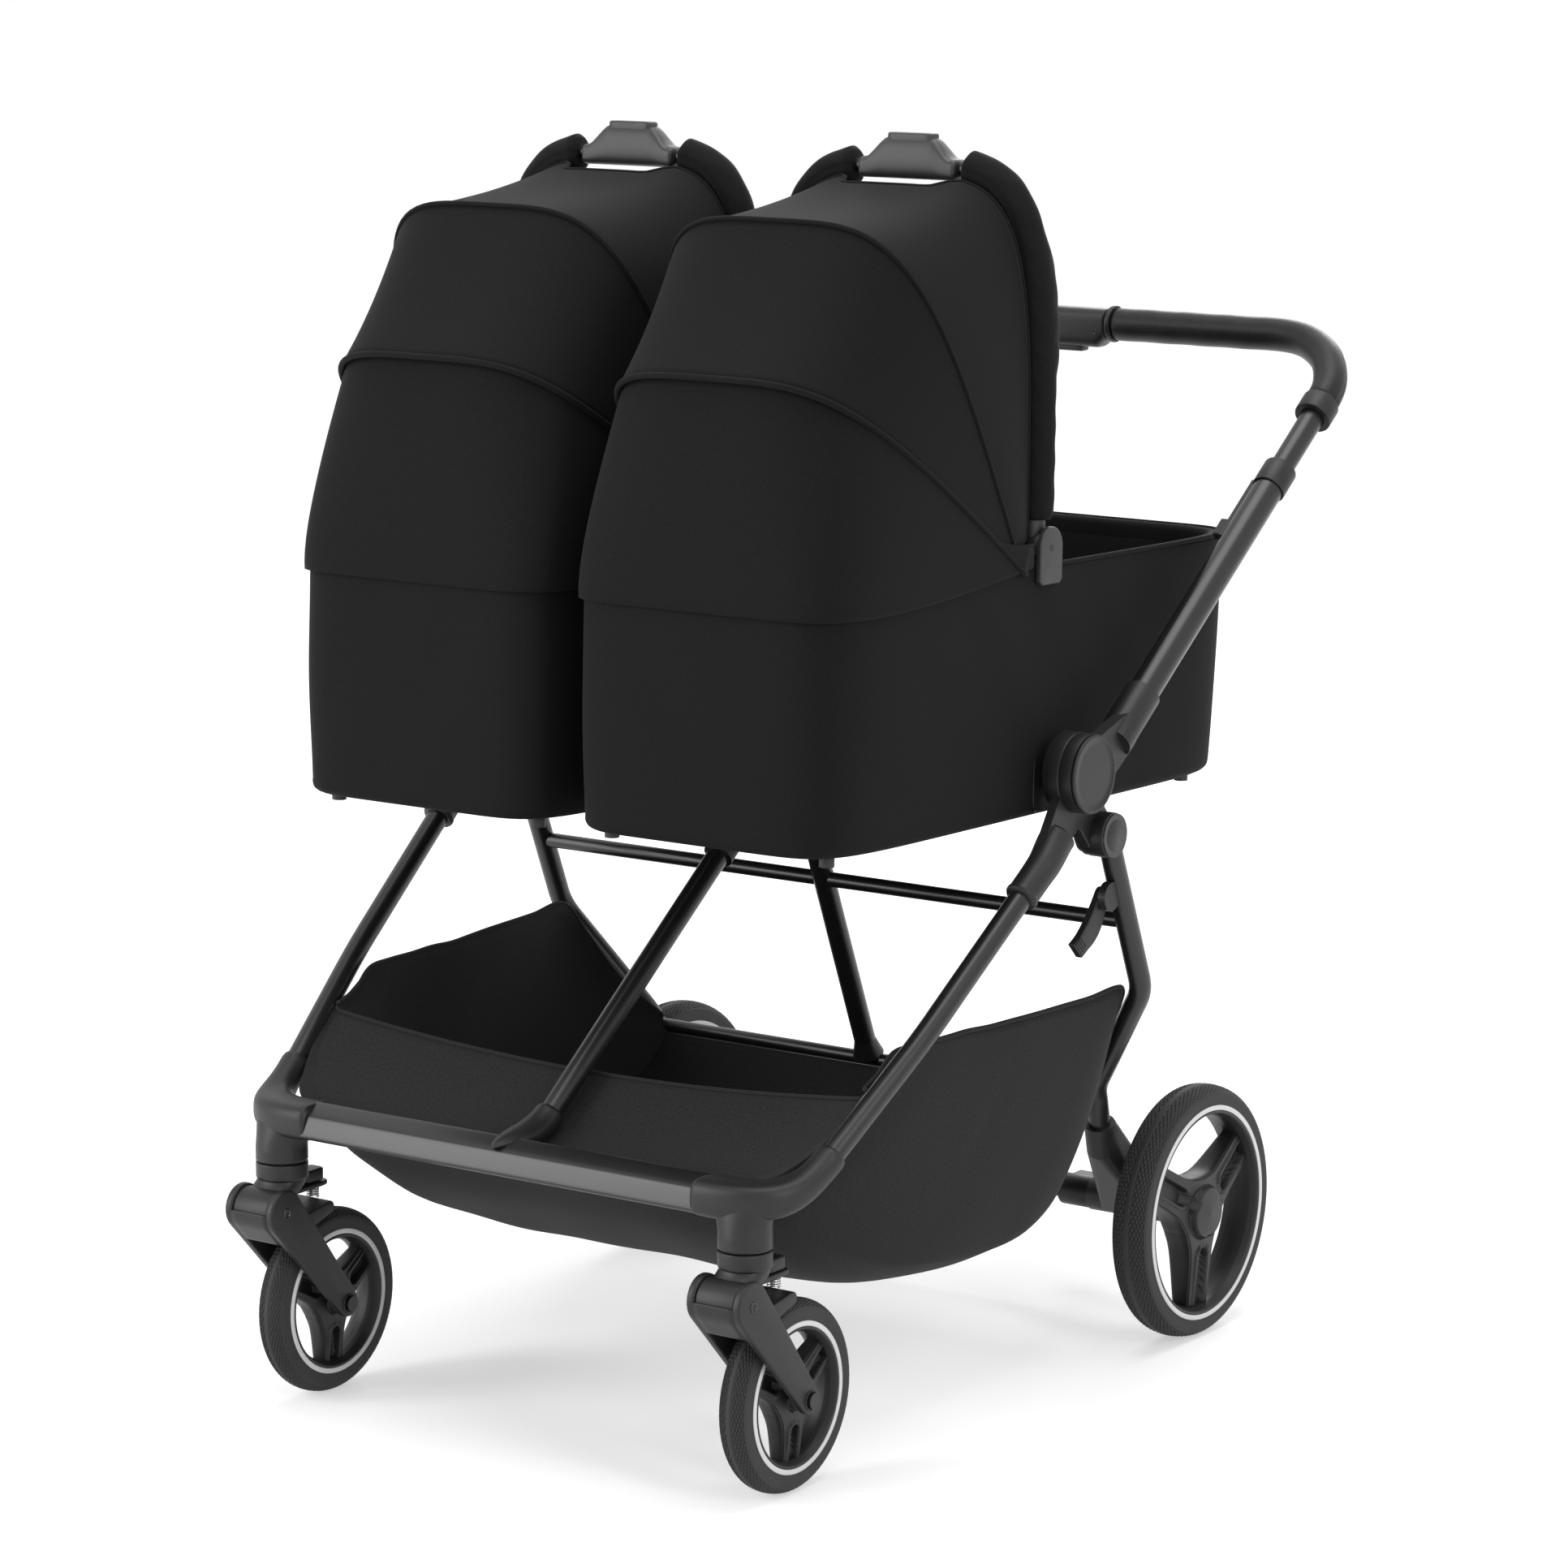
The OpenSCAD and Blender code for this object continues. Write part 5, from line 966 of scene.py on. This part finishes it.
# middle line of a casting: a curve of the third degree from its start on the bar into the leg's direction
def legCurve(t, start, c):
    foot, aim = np.array(c["legFoot"]), np.array(c["legDir"])
    before, end = foot - aim * c["legPull"], foot + aim * c["legOn"]
    inner = 3 * t * (1 - t) ** 2 * c["pull"] + 3 * t ** 2 * (1 - t) * before
    return (1 - t) ** 3 * start + inner + t ** 3 * end


# casting: a squarish section that turns round on its way to the leg's collar
def cornerPart(side):
    c = corner
    t = np.linspace(0, 1, 72)[:, None]
    path = legCurve(t, c["bar"], c)
    turn = smoothStep(0.2, 0.92, t)
    halfD, halfH = (c[k] + (c["collarR"] - c[k]) * turn for k in ("halfD", "halfH"))
    r = ovalRadius(turnOf(56), halfD, halfH, 3.4 - 1.4 * turn)
    r = r - (1 - smoothStep(0, 0.02, t)) - smoothStep(0.975, 1, t)  # eased ends
    return sweep(toRow(path * np.array([side, 1, 1])), 0.0, 56, (0, 0, 1), r * mm)


# column: round at the caster's seam, it flares towards the bar on its way into the casting
def columnPart(side):
    c = corner
    low, (x, y), a = c["columnLow"], c["column"], turnOf(56)
    z = np.concatenate([[low], np.linspace(low + 1.2, c["flareHigh"], 26)])[:, None]
    t = np.clip((z - c["flareLow"]) / (c["flareHigh"] - c["flareLow"]), 0, 1)
    r = ovalRadius(a, c["columnR"] + 9 * t ** 2.2, c["columnR"] - 4 * t, 2.0) - 1.4 * (z < low + 1)
    return solid(xyz(side * (x - 5 * t ** 2 + r * np.cos(a)), y + 3 * t ** 2 + r * np.sin(a), z))


# bar: its rounded section pulled straight across, with a face that leans back
def barPart():
    c = crossBar
    line = np.array(c["section"])
    for share in c["cuts"]:  # cutting the corners over and over rounds the section
        after = np.roll(line, -1, 0)
        pair = [line * (1 - share) + after * share, line * share + after * (1 - share)]
        line = np.stack(pair, 1).reshape(-1, 2)
    x = c["halfW"] * np.sin(np.linspace(-1, 1, 12) * np.pi / 2)[:, None]
    x[[1, -2]] = x[[0, -1]] * c["bevel"]
    return solid(xyz(x, line[:, 0], line[:, 1]))


# shoe of the centre leg: a drop that starts flat on the bar and fills out to the leg's collar
def shoePart():
    c = shoe
    t = np.linspace(0, 1, 60)[:, None]
    halfW = 1 + c["swell"] * (1 - (1 - t) ** 3) ** 0.75 + c["belly"] * np.sin(np.pi * t) ** 2
    halfH = 1 + c["swell"] * (1 - (1 - t) ** 2)
    r = ovalRadius(turnOf(48), halfW, halfH, 2.0) - 1.2 * smoothStep(0.97, 1, t)
    return sweep(toRow(legCurve(t, c["start"], c)), 0.0, 48, (0, 0, 1), r * mm)


parts = [shape(side) for side in (-1, 1) for shape in (cornerPart, columnPart)]
buildPiece("corner_shells", parts, [finish["plastic"]], "chassis", ["corner_castings"])
buildPiece("cross_bar", [barPart()], [finish["frame"]], "chassis", ["front_bar"])
buildPiece("leg_shoe", [shoePart()], [finish["plastic"]], "chassis", ["centre_shoe"])
print("front made")


# casters: swivel ring, neck, barrel and spring lug, and a fork with two arms and a bridge round the barrel

caster = {
    "x": 270.0, "y": -62.0, "ringLow": 225.0, "ringHigh": 241.6, "ringR": 25.0, "pivot": (-90.0, 199.0),
    "barrelR": 20.3, "barrelHalf": 20.4, "armIn": 21.0, "armOut": 29.2, "armTopR": 22.6, "armFootR": 13.4,
    "foot": (0.0, 90.0), "bridge": 24.0, "bridgeFrom": 176.0, "bridgeGap": 0.3,
    "screwR": 5.2, "screw": [(-1, 0), (0.6, 0), (0.9, 0.6), (0.8, 2.0), (-0.6, 2.4)],
    "axleR": 9.8, "axleRim": [(-1, 0), (0.7, 0), (1.0, 0.5), (0.9, 1.6), (-0.4, 2.0)],
    "seat": ((-47, 182), 8.0, (-18, 188.6), 6.2),
    "lug": (21.0, 58.0, 0.4), "lugY": -33.0, "lugZ": (206.8, 212.0),
    "tab": (18.0, 27.0, 0.4), "tabY": -23.1, "tabZ": (212.6, 225.2),
}


# parts drawn flat in a top view at a caster, set back by a distance and raised upward
def casterPlace(side, back):
    return lambda p: toRow(xyz(side * (caster["x"] + p[..., 0]), p[..., 1] + back, p[..., 2]))


# outline round two circles of different size: two arcs joined by their common tangents
def stadium(p, rp, q, rq):
    p, q = np.array(p, float), np.array(q, float)
    head = math.atan2(*(q - p)[::-1])
    lean = math.acos((rp - rq) / np.linalg.norm(q - p))
    a = np.linspace(head + lean, head + 2 * np.pi - lean, 80)
    b = np.linspace(head - lean, head + lean, 80)
    arcs = [p + rp * np.stack([np.cos(a), np.sin(a)], -1), q + rq * np.stack([np.cos(b), np.sin(b)], -1)]
    return resample(np.concatenate(arcs), 120, closed=True)


# head: a turned ring, a neck, and a barrel and lug raised from their outlines
def casterHead(side):
    c = caster
    a = turnOf(56)
    high, low, wide = c["ringHigh"], c["ringLow"], c["ringR"]
    prof = [(high, 22.5), (high, wide - 0.8), (high - 0.8, wide), (low + 1.5, wide), (low, wide - 1.2),
            (low - 0.5, 21)]
    z, r = resample(prof, 22).T[..., None]
    ring = solid(xyz(side * c["x"] + r * np.cos(a), c["y"] + r * np.sin(a), z))
    # neck: sections that slide forward and square up from the ring to the barrel
    t = np.linspace(0, 1, 24)[:, None]
    soft = smoothStep(0, 1, t)
    r = ovalRadius(a, 23.2 - 2.9 * soft, 23.4 - 4.4 * soft, 2 + 3 * soft)
    y = c["y"] + (c["pivot"][0] + 2 - c["y"]) * soft
    neck = solid(xyz(side * c["x"] + r * np.cos(a), y + r * np.sin(a), low + 2 - 27 * t))
    barrel = raised(ringLine(c["pivot"], c["barrelR"], 72),
                    softLevels(-c["barrelHalf"], c["barrelHalf"], 1.0), acrossPlace(side, c["x"]))
    lug = raised(roundedOutline(*c["lug"]), softLevels(*c["lugZ"], 1.6), casterPlace(side, c["lugY"]))
    return [ring, neck, barrel, lug]


# fork: arms raised from their outline, a bridge band pulled across, and a spring seat
def forkParts(side):
    c = caster
    p, q = np.array(c["pivot"]), np.array(c["foot"])
    arm = stadium(p, c["armTopR"], q, c["armFootR"])
    aim = unit(q - p)
    front = np.array([aim[1], -aim[0]])
    parts = []
    for half in (-1, 1):
        place = acrossPlace(side, c["x"], half)
        parts.append(raised(arm, softLevels(c["armIn"], c["armOut"], 2.2), place))
        # sunk pivot screw and a rim round the axle's head
        parts.append(raised(ringLine(p, c["screwR"], 32), levelsFrom(c["armOut"], c["screw"]), place, mat=1))
        parts.append(raised(ringLine(q, c["axleR"], 40), levelsFrom(c["armOut"], c["axleRim"]), place))
    # bridge: an arc round the barrel that runs on along the arms' front edges
    turn = np.linspace(math.radians(c["bridgeFrom"]), math.atan2(front[1], front[0]) % (2 * np.pi), 20)
    arc = np.stack([np.cos(turn), np.sin(turn)], -1)
    slope = math.asin((c["armTopR"] - c["armFootR"]) / np.linalg.norm(q - p))
    run = aim * math.cos(slope) - front * math.sin(slope)
    reach = np.linspace(0, c["bridge"], 8)[1:, None] * run

    def edgeLine(r):
        return np.concatenate([p + arc * r, p + arc[-1] * r + reach])
    band = np.concatenate([edgeLine(c["armTopR"]), edgeLine(c["barrelR"] + c["bridgeGap"])[::-1]])
    wide = c["armIn"] + 1
    x = np.linspace(-wide, wide, 8)[:, None]
    parts.append(solid(xyz(side * (c["x"] + x), band[:, 0], band[:, 1])))
    # spring seat behind the barrel
    parts.append(raised(stadium(*c["seat"]), softLevels(-wide, wide, 1.5), acrossPlace(side, c["x"])))
    return parts


for name, side in sides.items():
    buildPiece(f"caster_shell_{name}", casterHead(side), [finish["plastic"]], f"caster_{name}",
               [f"caster_head_{name}"])
    buildPiece(f"fork_shell_{name}", forkParts(side), [finish["plastic"], finish["bolt"]], f"fork_{name}",
               [f"fork_{name}"])
    tab = raised(roundedOutline(*caster["tab"]), softLevels(*caster["tabZ"], 2.4),
                 casterPlace(side, caster["tabY"]))
    buildPiece(f"lock_tab_{name}", [tab], [finish["plastic"]], f"swivel_lock_{name}",
               [f"swivel_lock_{name}"])
print("casters made")


# side hubs: a web with three lobes behind the handle's knuckle, a pivot cap, a leg socket and a cover

hub = {
    "middle": (378.0, 590.0), "lobes": [(pram["hub"], 38.3), ((410.0, 551.0), 21.8), ((342.0, 562.0), 16.5)],
    "coreR": 20.0, "joinPower": 9, "webIn": 334.6, "webOut": 348.6, "pivot": (410.0, 551.0), "pivotR": 21.8,
    "capOut": 364.0, "discR": 15.5, "disc": [(-1, 0), (0.7, 0), (1.2, 0.6)], "legTop": (348.0, 306.0, 536.0),
    "legDir": (0.07, 0.80, 0.595), "legRun": (-41.0, 40.0), "legDraw": 5.0, "socketR": 15.3,
    "coverR": 37.4, "coverIn": 362.3, "coverOut": 366.0,
    "cover": [(-1.6, 0), (-0.5, 0.4), (0, 1.4), (0, 3.6), (-0.9, 4.4), (-0.9, 10), (-0.7, 24), (-0.7, 34)],
}


# outline of the lobes: along each ray the reach of every lobe's strip and round end, joined by a power sum
def lobeOutline():
    m, power = np.array(hub["middle"]), hub["joinPower"]
    u = ringLine((0, 0), 1, 720)
    total = hub["coreR"] ** power
    for point, r in hub["lobes"]:
        d = np.array(point) - m
        b, off = u @ d, np.abs(u[:, 0] * d[1] - u[:, 1] * d[0])
        end = b + np.sqrt(np.maximum(r ** 2 - off ** 2, 0))
        reach = np.minimum(end, r * np.linalg.norm(d) / np.maximum(off, 1e-6))
        total = total + np.maximum(np.where(b > 0, reach, 0), 0) ** power
    reach = total ** (1 / power)
    ring = np.ones(25) / 25  # a running mean rounds the inner corners
    reach = np.convolve(np.concatenate([reach[-12:], reach, reach[:12]]), ring, "valid")
    return resample(m + u * reach[:, None], 150, closed=True)


# hub: web, cap and disc raised from their outlines, and a leg socket swept along the leg
def hubParts(side):
    c = hub
    place = acrossPlace(side)
    web = raised(lobeOutline(), softLevels(c["webIn"], c["webOut"], 1.6), place)
    cap = raised(ringLine(c["pivot"], c["pivotR"], 64), softLevels(c["webIn"] + 4, c["capOut"], 2.6), place)
    disc = raised(ringLine(c["pivot"], c["discR"], 56), levelsFrom(c["capOut"], c["disc"]), place)
    # leg socket: a collar at the foot, an eased mouth, and a swell where it runs into the web
    t = np.linspace(*c["legRun"], 40)
    path = np.array(c["legTop"]) + t[:, None] * np.array(c["legDir"])
    path[:, 0] -= c["legDraw"] * smoothStep(0, 40, t)
    collar, mouth = 1 - smoothStep(-37, -35.5, t), 1 - smoothStep(-41, -39.6, t)
    r = c["socketR"] + 1.6 * smoothStep(-20, 35, t) + 0.9 * collar - 1.4 * mouth
    socket = sweep(toRow(path * np.array([side, 1, 1])), r * mm, 44, (1, 0, 0))
    return [web, cap, disc, socket]


# cover: a circle raised to a rim round a slightly sunk face
def coverPart(side):
    c = hub
    levels = [(c["coverIn"], 0)] + levelsFrom(c["coverOut"], c["cover"])
    return raised(ringLine(pram["hub"], c["coverR"], 96), levels, acrossPlace(side))


parts = [part for side in (-1, 1) for part in hubParts(side)]
buildPiece("hub_webs", parts, [finish["plastic"]], "chassis")
parts = [coverPart(side) for side in (-1, 1)]
buildPiece("hub_discs", parts, [finish["plastic"]], "handle_frame", ["hub_covers"])

latch = {"pivot": (421.5, 489.0), "reach": (-47.0, -46.0), "bow": 7.0, "root": 8.4, "belly": 3.6, "in": 338.9,
         "out": 346.5, "ribs": 4, "ribFrom": 2.5, "ribStep": 3.2, "ribHalfW": 8.0, "ribHalf": 0.8,
         "rib": [(-0.5, 0), (0.5, 0), (0.8, 0.3)]}


# blade: a bowed middle line with a half width that swells and ends square, raised across
def latchPart():
    c = latch
    t = np.linspace(0, 1, 40)[:, None]
    aim = unit(np.array(c["reach"]))
    n = np.array([-aim[1], aim[0]])
    line = np.array(c["pivot"]) + t * np.array(c["reach"]) + n * c["bow"] * np.sin(np.pi * t)
    half = c["root"] + c["belly"] * np.sin(np.pi * np.clip(t, 0, 0.8))
    a = np.linspace(np.pi / 2, 3 * np.pi / 2, 30)[:, None]
    start = np.array(c["pivot"]) + c["root"] * (np.cos(a) * aim + np.sin(a) * n)
    outline = resample(np.concatenate([line - n * half, (line + n * half)[::-1], start]), 130, closed=True)
    parts = [raised(outline, softLevels(c["in"], c["out"], 1.2), acrossPlace(1))]
    for k in range(c["ribs"]):  # finger ribs at the tip
        mid = line[-1] - aim * (c["ribFrom"] + c["ribStep"] * k)
        corners = ((-1, -1), (1, -1), (1, 1), (-1, 1))
        rib = np.stack([mid + n * c["ribHalfW"] * e + aim * c["ribHalf"] * f for e, f in corners])
        parts.append(raised(resample(rib, 24, closed=True), levelsFrom(c["out"], c["rib"]), acrossPlace(1)))
    return parts


buildPiece("latch_blade", latchPart(), [finish["plastic"]], "storage_latch", ["storage_latch"])
print("hubs made")


# suspension springs

spring = {"d": 13.0, "wire": 1.9, "turns": 4.0, "low": 195.4, "high": 206.6, "y": -18.0, "x": 270.0}
for name, side in sides.items():
    c = spring
    t = np.linspace(0, 1, 200)
    a = 2 * np.pi * c["turns"] * t
    r = (c["d"] - c["wire"]) / 2
    coil = np.stack([side * c["x"] + r * np.cos(a), c["y"] + r * np.sin(a),
                     c["low"] + c["wire"] / 2 + (c["high"] - c["low"] - c["wire"]) * t], -1)
    part = sweep(toRow(coil), c["wire"] / 2 * mm, 10, (0, 0, 1))
    piece = buildPiece(f"spring_coil_{name}", [part], [finish["steel"]], f"caster_{name}",
                       [f"caster_spring_{name}"])
    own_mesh(piece)
print("springs made")


# handle: grips and fold trigger

handle = {"angle": 36.0, "drop": 14.0, "halfSpan": 352.0, "reach": 638.0, "bend": 95.0, "gripStart": 541.0,
          "bareHalf": 66.0, "gripR": 17.0}


# points across the handle, along its arms and square to them
def handlePlace(x, s, up=0.0):
    a = math.radians(handle["angle"])
    rise = up - handle["drop"]
    y = pram["hub"][0] + s * math.cos(a) - rise * math.sin(a)
    z = pram["hub"][1] + s * math.sin(a) + rise * math.cos(a)
    return toRow(xyz(x, y, z))


# grip: a round section along the bar's bend, with a sewn seam inside it and slight waves
def gripSleeve(half):
    c = handle
    a = np.linspace(0, np.pi / 2, 40)
    x = np.concatenate([[c["halfSpan"]], c["halfSpan"] - c["bend"] + c["bend"] * np.cos(a), [c["bareHalf"]]])
    s = np.concatenate([[c["gripStart"]], c["reach"] - c["bend"] + c["bend"] * np.sin(a), [c["reach"]]])
    line = resample(np.stack([x, s], -1), 150)
    path = handlePlace(half * line[:, 0], line[:, 1])
    t = np.linspace(0, 1, 150)[:, None]
    ang = turnOf(40)
    seam = -0.9 * np.exp(-((ang - np.pi) / 0.09) ** 2)
    ends = -2.2 * (1 - smoothStep(0, 0.012, t)) - 2.2 * smoothStep(0.988, 1, t)
    wave = 0.18 * np.sin(46 * t + 2 * np.cos(ang))
    normal = handlePlace(0, 0, 1) - handlePlace(0, 0, 0)
    return sweep(path, c["gripR"] * mm, 40, normal, (seam + ends + wave) * mm)


parts = [gripSleeve(half) for half in (-1, 1)]
piece = buildPiece("grip_sleeves", parts, [finish["leather"]], "handle_bar", ["grips"])

trigger = {
    "w": 120.0, "depth": 30.0, "low": -25.0, "high": 15.6, "endLow": -16.5, "taper": 14.0, "end": 3.0,
    "endR": 3.1, "keyW": 58.0, "keyD": 15.5, "keyLow": -30.0, "keyHigh": -18.0, "keyEdge": 2.4,
    "screwX": 48.0, "screwZ": -8.0, "screwR": 3.0,
    "screw": [(14.2, 0), (15.3, 0), (15.5, 0.5), (15.4, 1.5), (14.6, 1.7)],
}


def triggerPlace(p):
    return handlePlace(0, handle["reach"]) + p * mm


# housing: rounded sections along the bar whose ends taper into it
def triggerPart():
    c = trigger
    x = c["w"] / 2 * np.sin(np.linspace(-1, 1, 61) * np.pi / 2)[:, None]
    ends = roundEnds(x, c["w"] / 2, c["end"], c["endR"], 0.2)
    low = c["endLow"] + (c["low"] - c["endLow"]) * smoothStep(0, c["taper"], c["w"] / 2 - np.abs(x))
    a = turnOf(44)
    mid, half = (c["high"] + low) / 2, (c["high"] - low) / 2 * ends
    y = c["depth"] / 2 * ends * signedPower(np.cos(a), 0.55)
    grid = xyz(x, y, mid + half * signedPower(np.sin(a), 0.5))
    return surface(triggerPlace(grid), closeCols=True, capRows=True)


# screw on the front face
def triggerScrew(half):
    c = trigger

    def place(p):
        return triggerPlace(xyz(half * c["screwX"] + p[..., 0], -p[..., 2], c["screwZ"] + p[..., 1]))
    return raised(ringLine((0, 0), c["screwR"], 24), c["screw"], place, mat=1)


parts = [triggerPart()] + [triggerScrew(half) for half in (-1, 1)]
buildPiece("trigger_body", parts, [finish["plastic"], finish["bolt"]], "handle_bar",
           ["trigger_housing"])
key = raised(roundedOutline(trigger["keyW"], trigger["keyD"]),
             softLevels(trigger["keyLow"], trigger["keyHigh"], trigger["keyEdge"]), triggerPlace)
buildPiece("fold_key", [key], [finish["grey"]], "fold_button", ["fold_button"])
print("handle made")


# floor, light and camera

# 1 for what the camera sees straight, in a mirror or through glass, 0 for light that falls on the pram
def seenDirectly(tree):
    path = nodeOf(tree, "ShaderNodeLightPath")
    last = path.outputs["Is Camera Ray"]
    for ray in ("Is Glossy Ray", "Is Transmission Ray"):
        most = nodeOf(tree, "ShaderNodeMath", operation="MAXIMUM")
        tree.links.new(last, most.inputs[0])
        tree.links.new(path.outputs[ray], most.inputs[1])
        last = most.outputs[0]
    return last


def studio():
    floorMesh = bpy.data.meshes.new("floor")
    floorMesh.from_pydata([(-70, -70, 0), (70, -70, 0), (70, 70, 0), (-70, 70, 0)], [], [(0, 1, 2, 3)])
    floor = bpy.data.objects.new("floor", floorMesh)
    bpy.context.collection.objects.link(floor)
    mat = bpy.data.materials.new("pale_floor")
    mat.use_nodes = True
    tree = mat.node_tree
    tree.nodes.clear()
    out = nodeOf(tree, "ShaderNodeOutputMaterial")
    diffuse = nodeOf(tree, "ShaderNodeBsdfDiffuse", Color=(0.80, 0.80, 0.80, 1))
    glow = nodeOf(tree, "ShaderNodeEmission", Color=(1, 1, 1, 1))
    lift = nodeOf(tree, "ShaderNodeMath", operation="MULTIPLY")
    # painted shade: the floor glows a little less near the pram, so the floor round it is painted darker and
    # its shadow shows
    spot = nodeOf(tree, "ShaderNodeTexCoord")
    far = nodeOf(tree, "ShaderNodeVectorMath", operation="LENGTH")
    fade = nodeOf(tree, "ShaderNodeMapRange", interpolation_type="SMOOTHSTEP")
    for key, value in {"From Min": 0.3, "From Max": 2.4, "To Min": 0.47, "To Max": 0.64}.items():
        fade.inputs[key].default_value = value
    tree.links.new(spot.outputs["Object"], far.inputs[0])
    tree.links.new(far.outputs["Value"], fade.inputs["Value"])
    tree.links.new(fade.outputs["Result"], lift.inputs[1])
    add = nodeOf(tree, "ShaderNodeAddShader")
    tree.links.new(seenDirectly(tree), lift.inputs[0])
    tree.links.new(lift.outputs[0], glow.inputs["Strength"])
    tree.links.new(diffuse.outputs[0], add.inputs[0])
    tree.links.new(glow.outputs[0], add.inputs[1])
    tree.links.new(add.outputs[0], out.inputs["Surface"])
    floorMesh.materials.append(mat)

    world = bpy.data.worlds.new("studio")
    bpy.context.scene.world = world
    world.use_nodes = True
    tree = world.node_tree
    back = tree.nodes["Background"]
    back.inputs["Color"].default_value = (1, 1, 1, 1)
    white = nodeOf(tree, "ShaderNodeMapRange")
    white.inputs["To Min"].default_value = 0.45  # light on the pram
    tree.links.new(seenDirectly(tree), white.inputs["Value"])
    tree.links.new(white.outputs["Result"], back.inputs["Strength"])

    lamps = [
        {"name": "key", "at": (-2.6, -3.6, 1.95), "size": (1.5, 3.6), "power": 105, "to": (0, 0, 0.55)},
        {"name": "top", "at": (0.4, 0.2, 4.2), "size": (3.0, 2.2), "power": 72, "to": (0, 0, 0.4)},
        {"name": "fill", "at": (3.8, -1.4, 2.2), "size": (0.7, 2.6), "power": 42, "to": (0, 0, 0.6)},
        {"name": "rear", "at": (-1.2, 4.2, 2.6), "size": (2.4, 2.0), "power": 70, "to": (0, 0, 0.6)},
    ]
    for lamp in lamps:
        data = bpy.data.lights.new(lamp["name"], "AREA")
        data.shape, data.energy = "RECTANGLE", lamp["power"]
        data.size, data.size_y = lamp["size"]
        obj = bpy.data.objects.new(lamp["name"], data)
        obj.location = lamp["at"]
        aim = np.array(lamp["to"]) - np.array(lamp["at"])
        tilt, turn = math.acos(-aim[2] / np.linalg.norm(aim)), math.atan2(aim[1], aim[0]) - math.pi / 2
        obj.rotation_euler = (tilt, 0, turn)
        bpy.context.collection.objects.link(obj)


def photoCamera():
    data = bpy.data.cameras.new("photo_camera")
    data.lens, data.sensor_width = 117.5, 36
    cam = bpy.data.objects.new("photo_camera", data)
    cam.location = (2.8214, -4.0579, 1.4930)
    cam.rotation_euler = (math.radians(79.342), 0, math.radians(34.915))
    bpy.context.collection.objects.link(cam)
    bpy.context.scene.camera = cam


studio()
photoCamera()
bpy.context.scene.view_settings.view_transform = "Standard"
print("studio made")
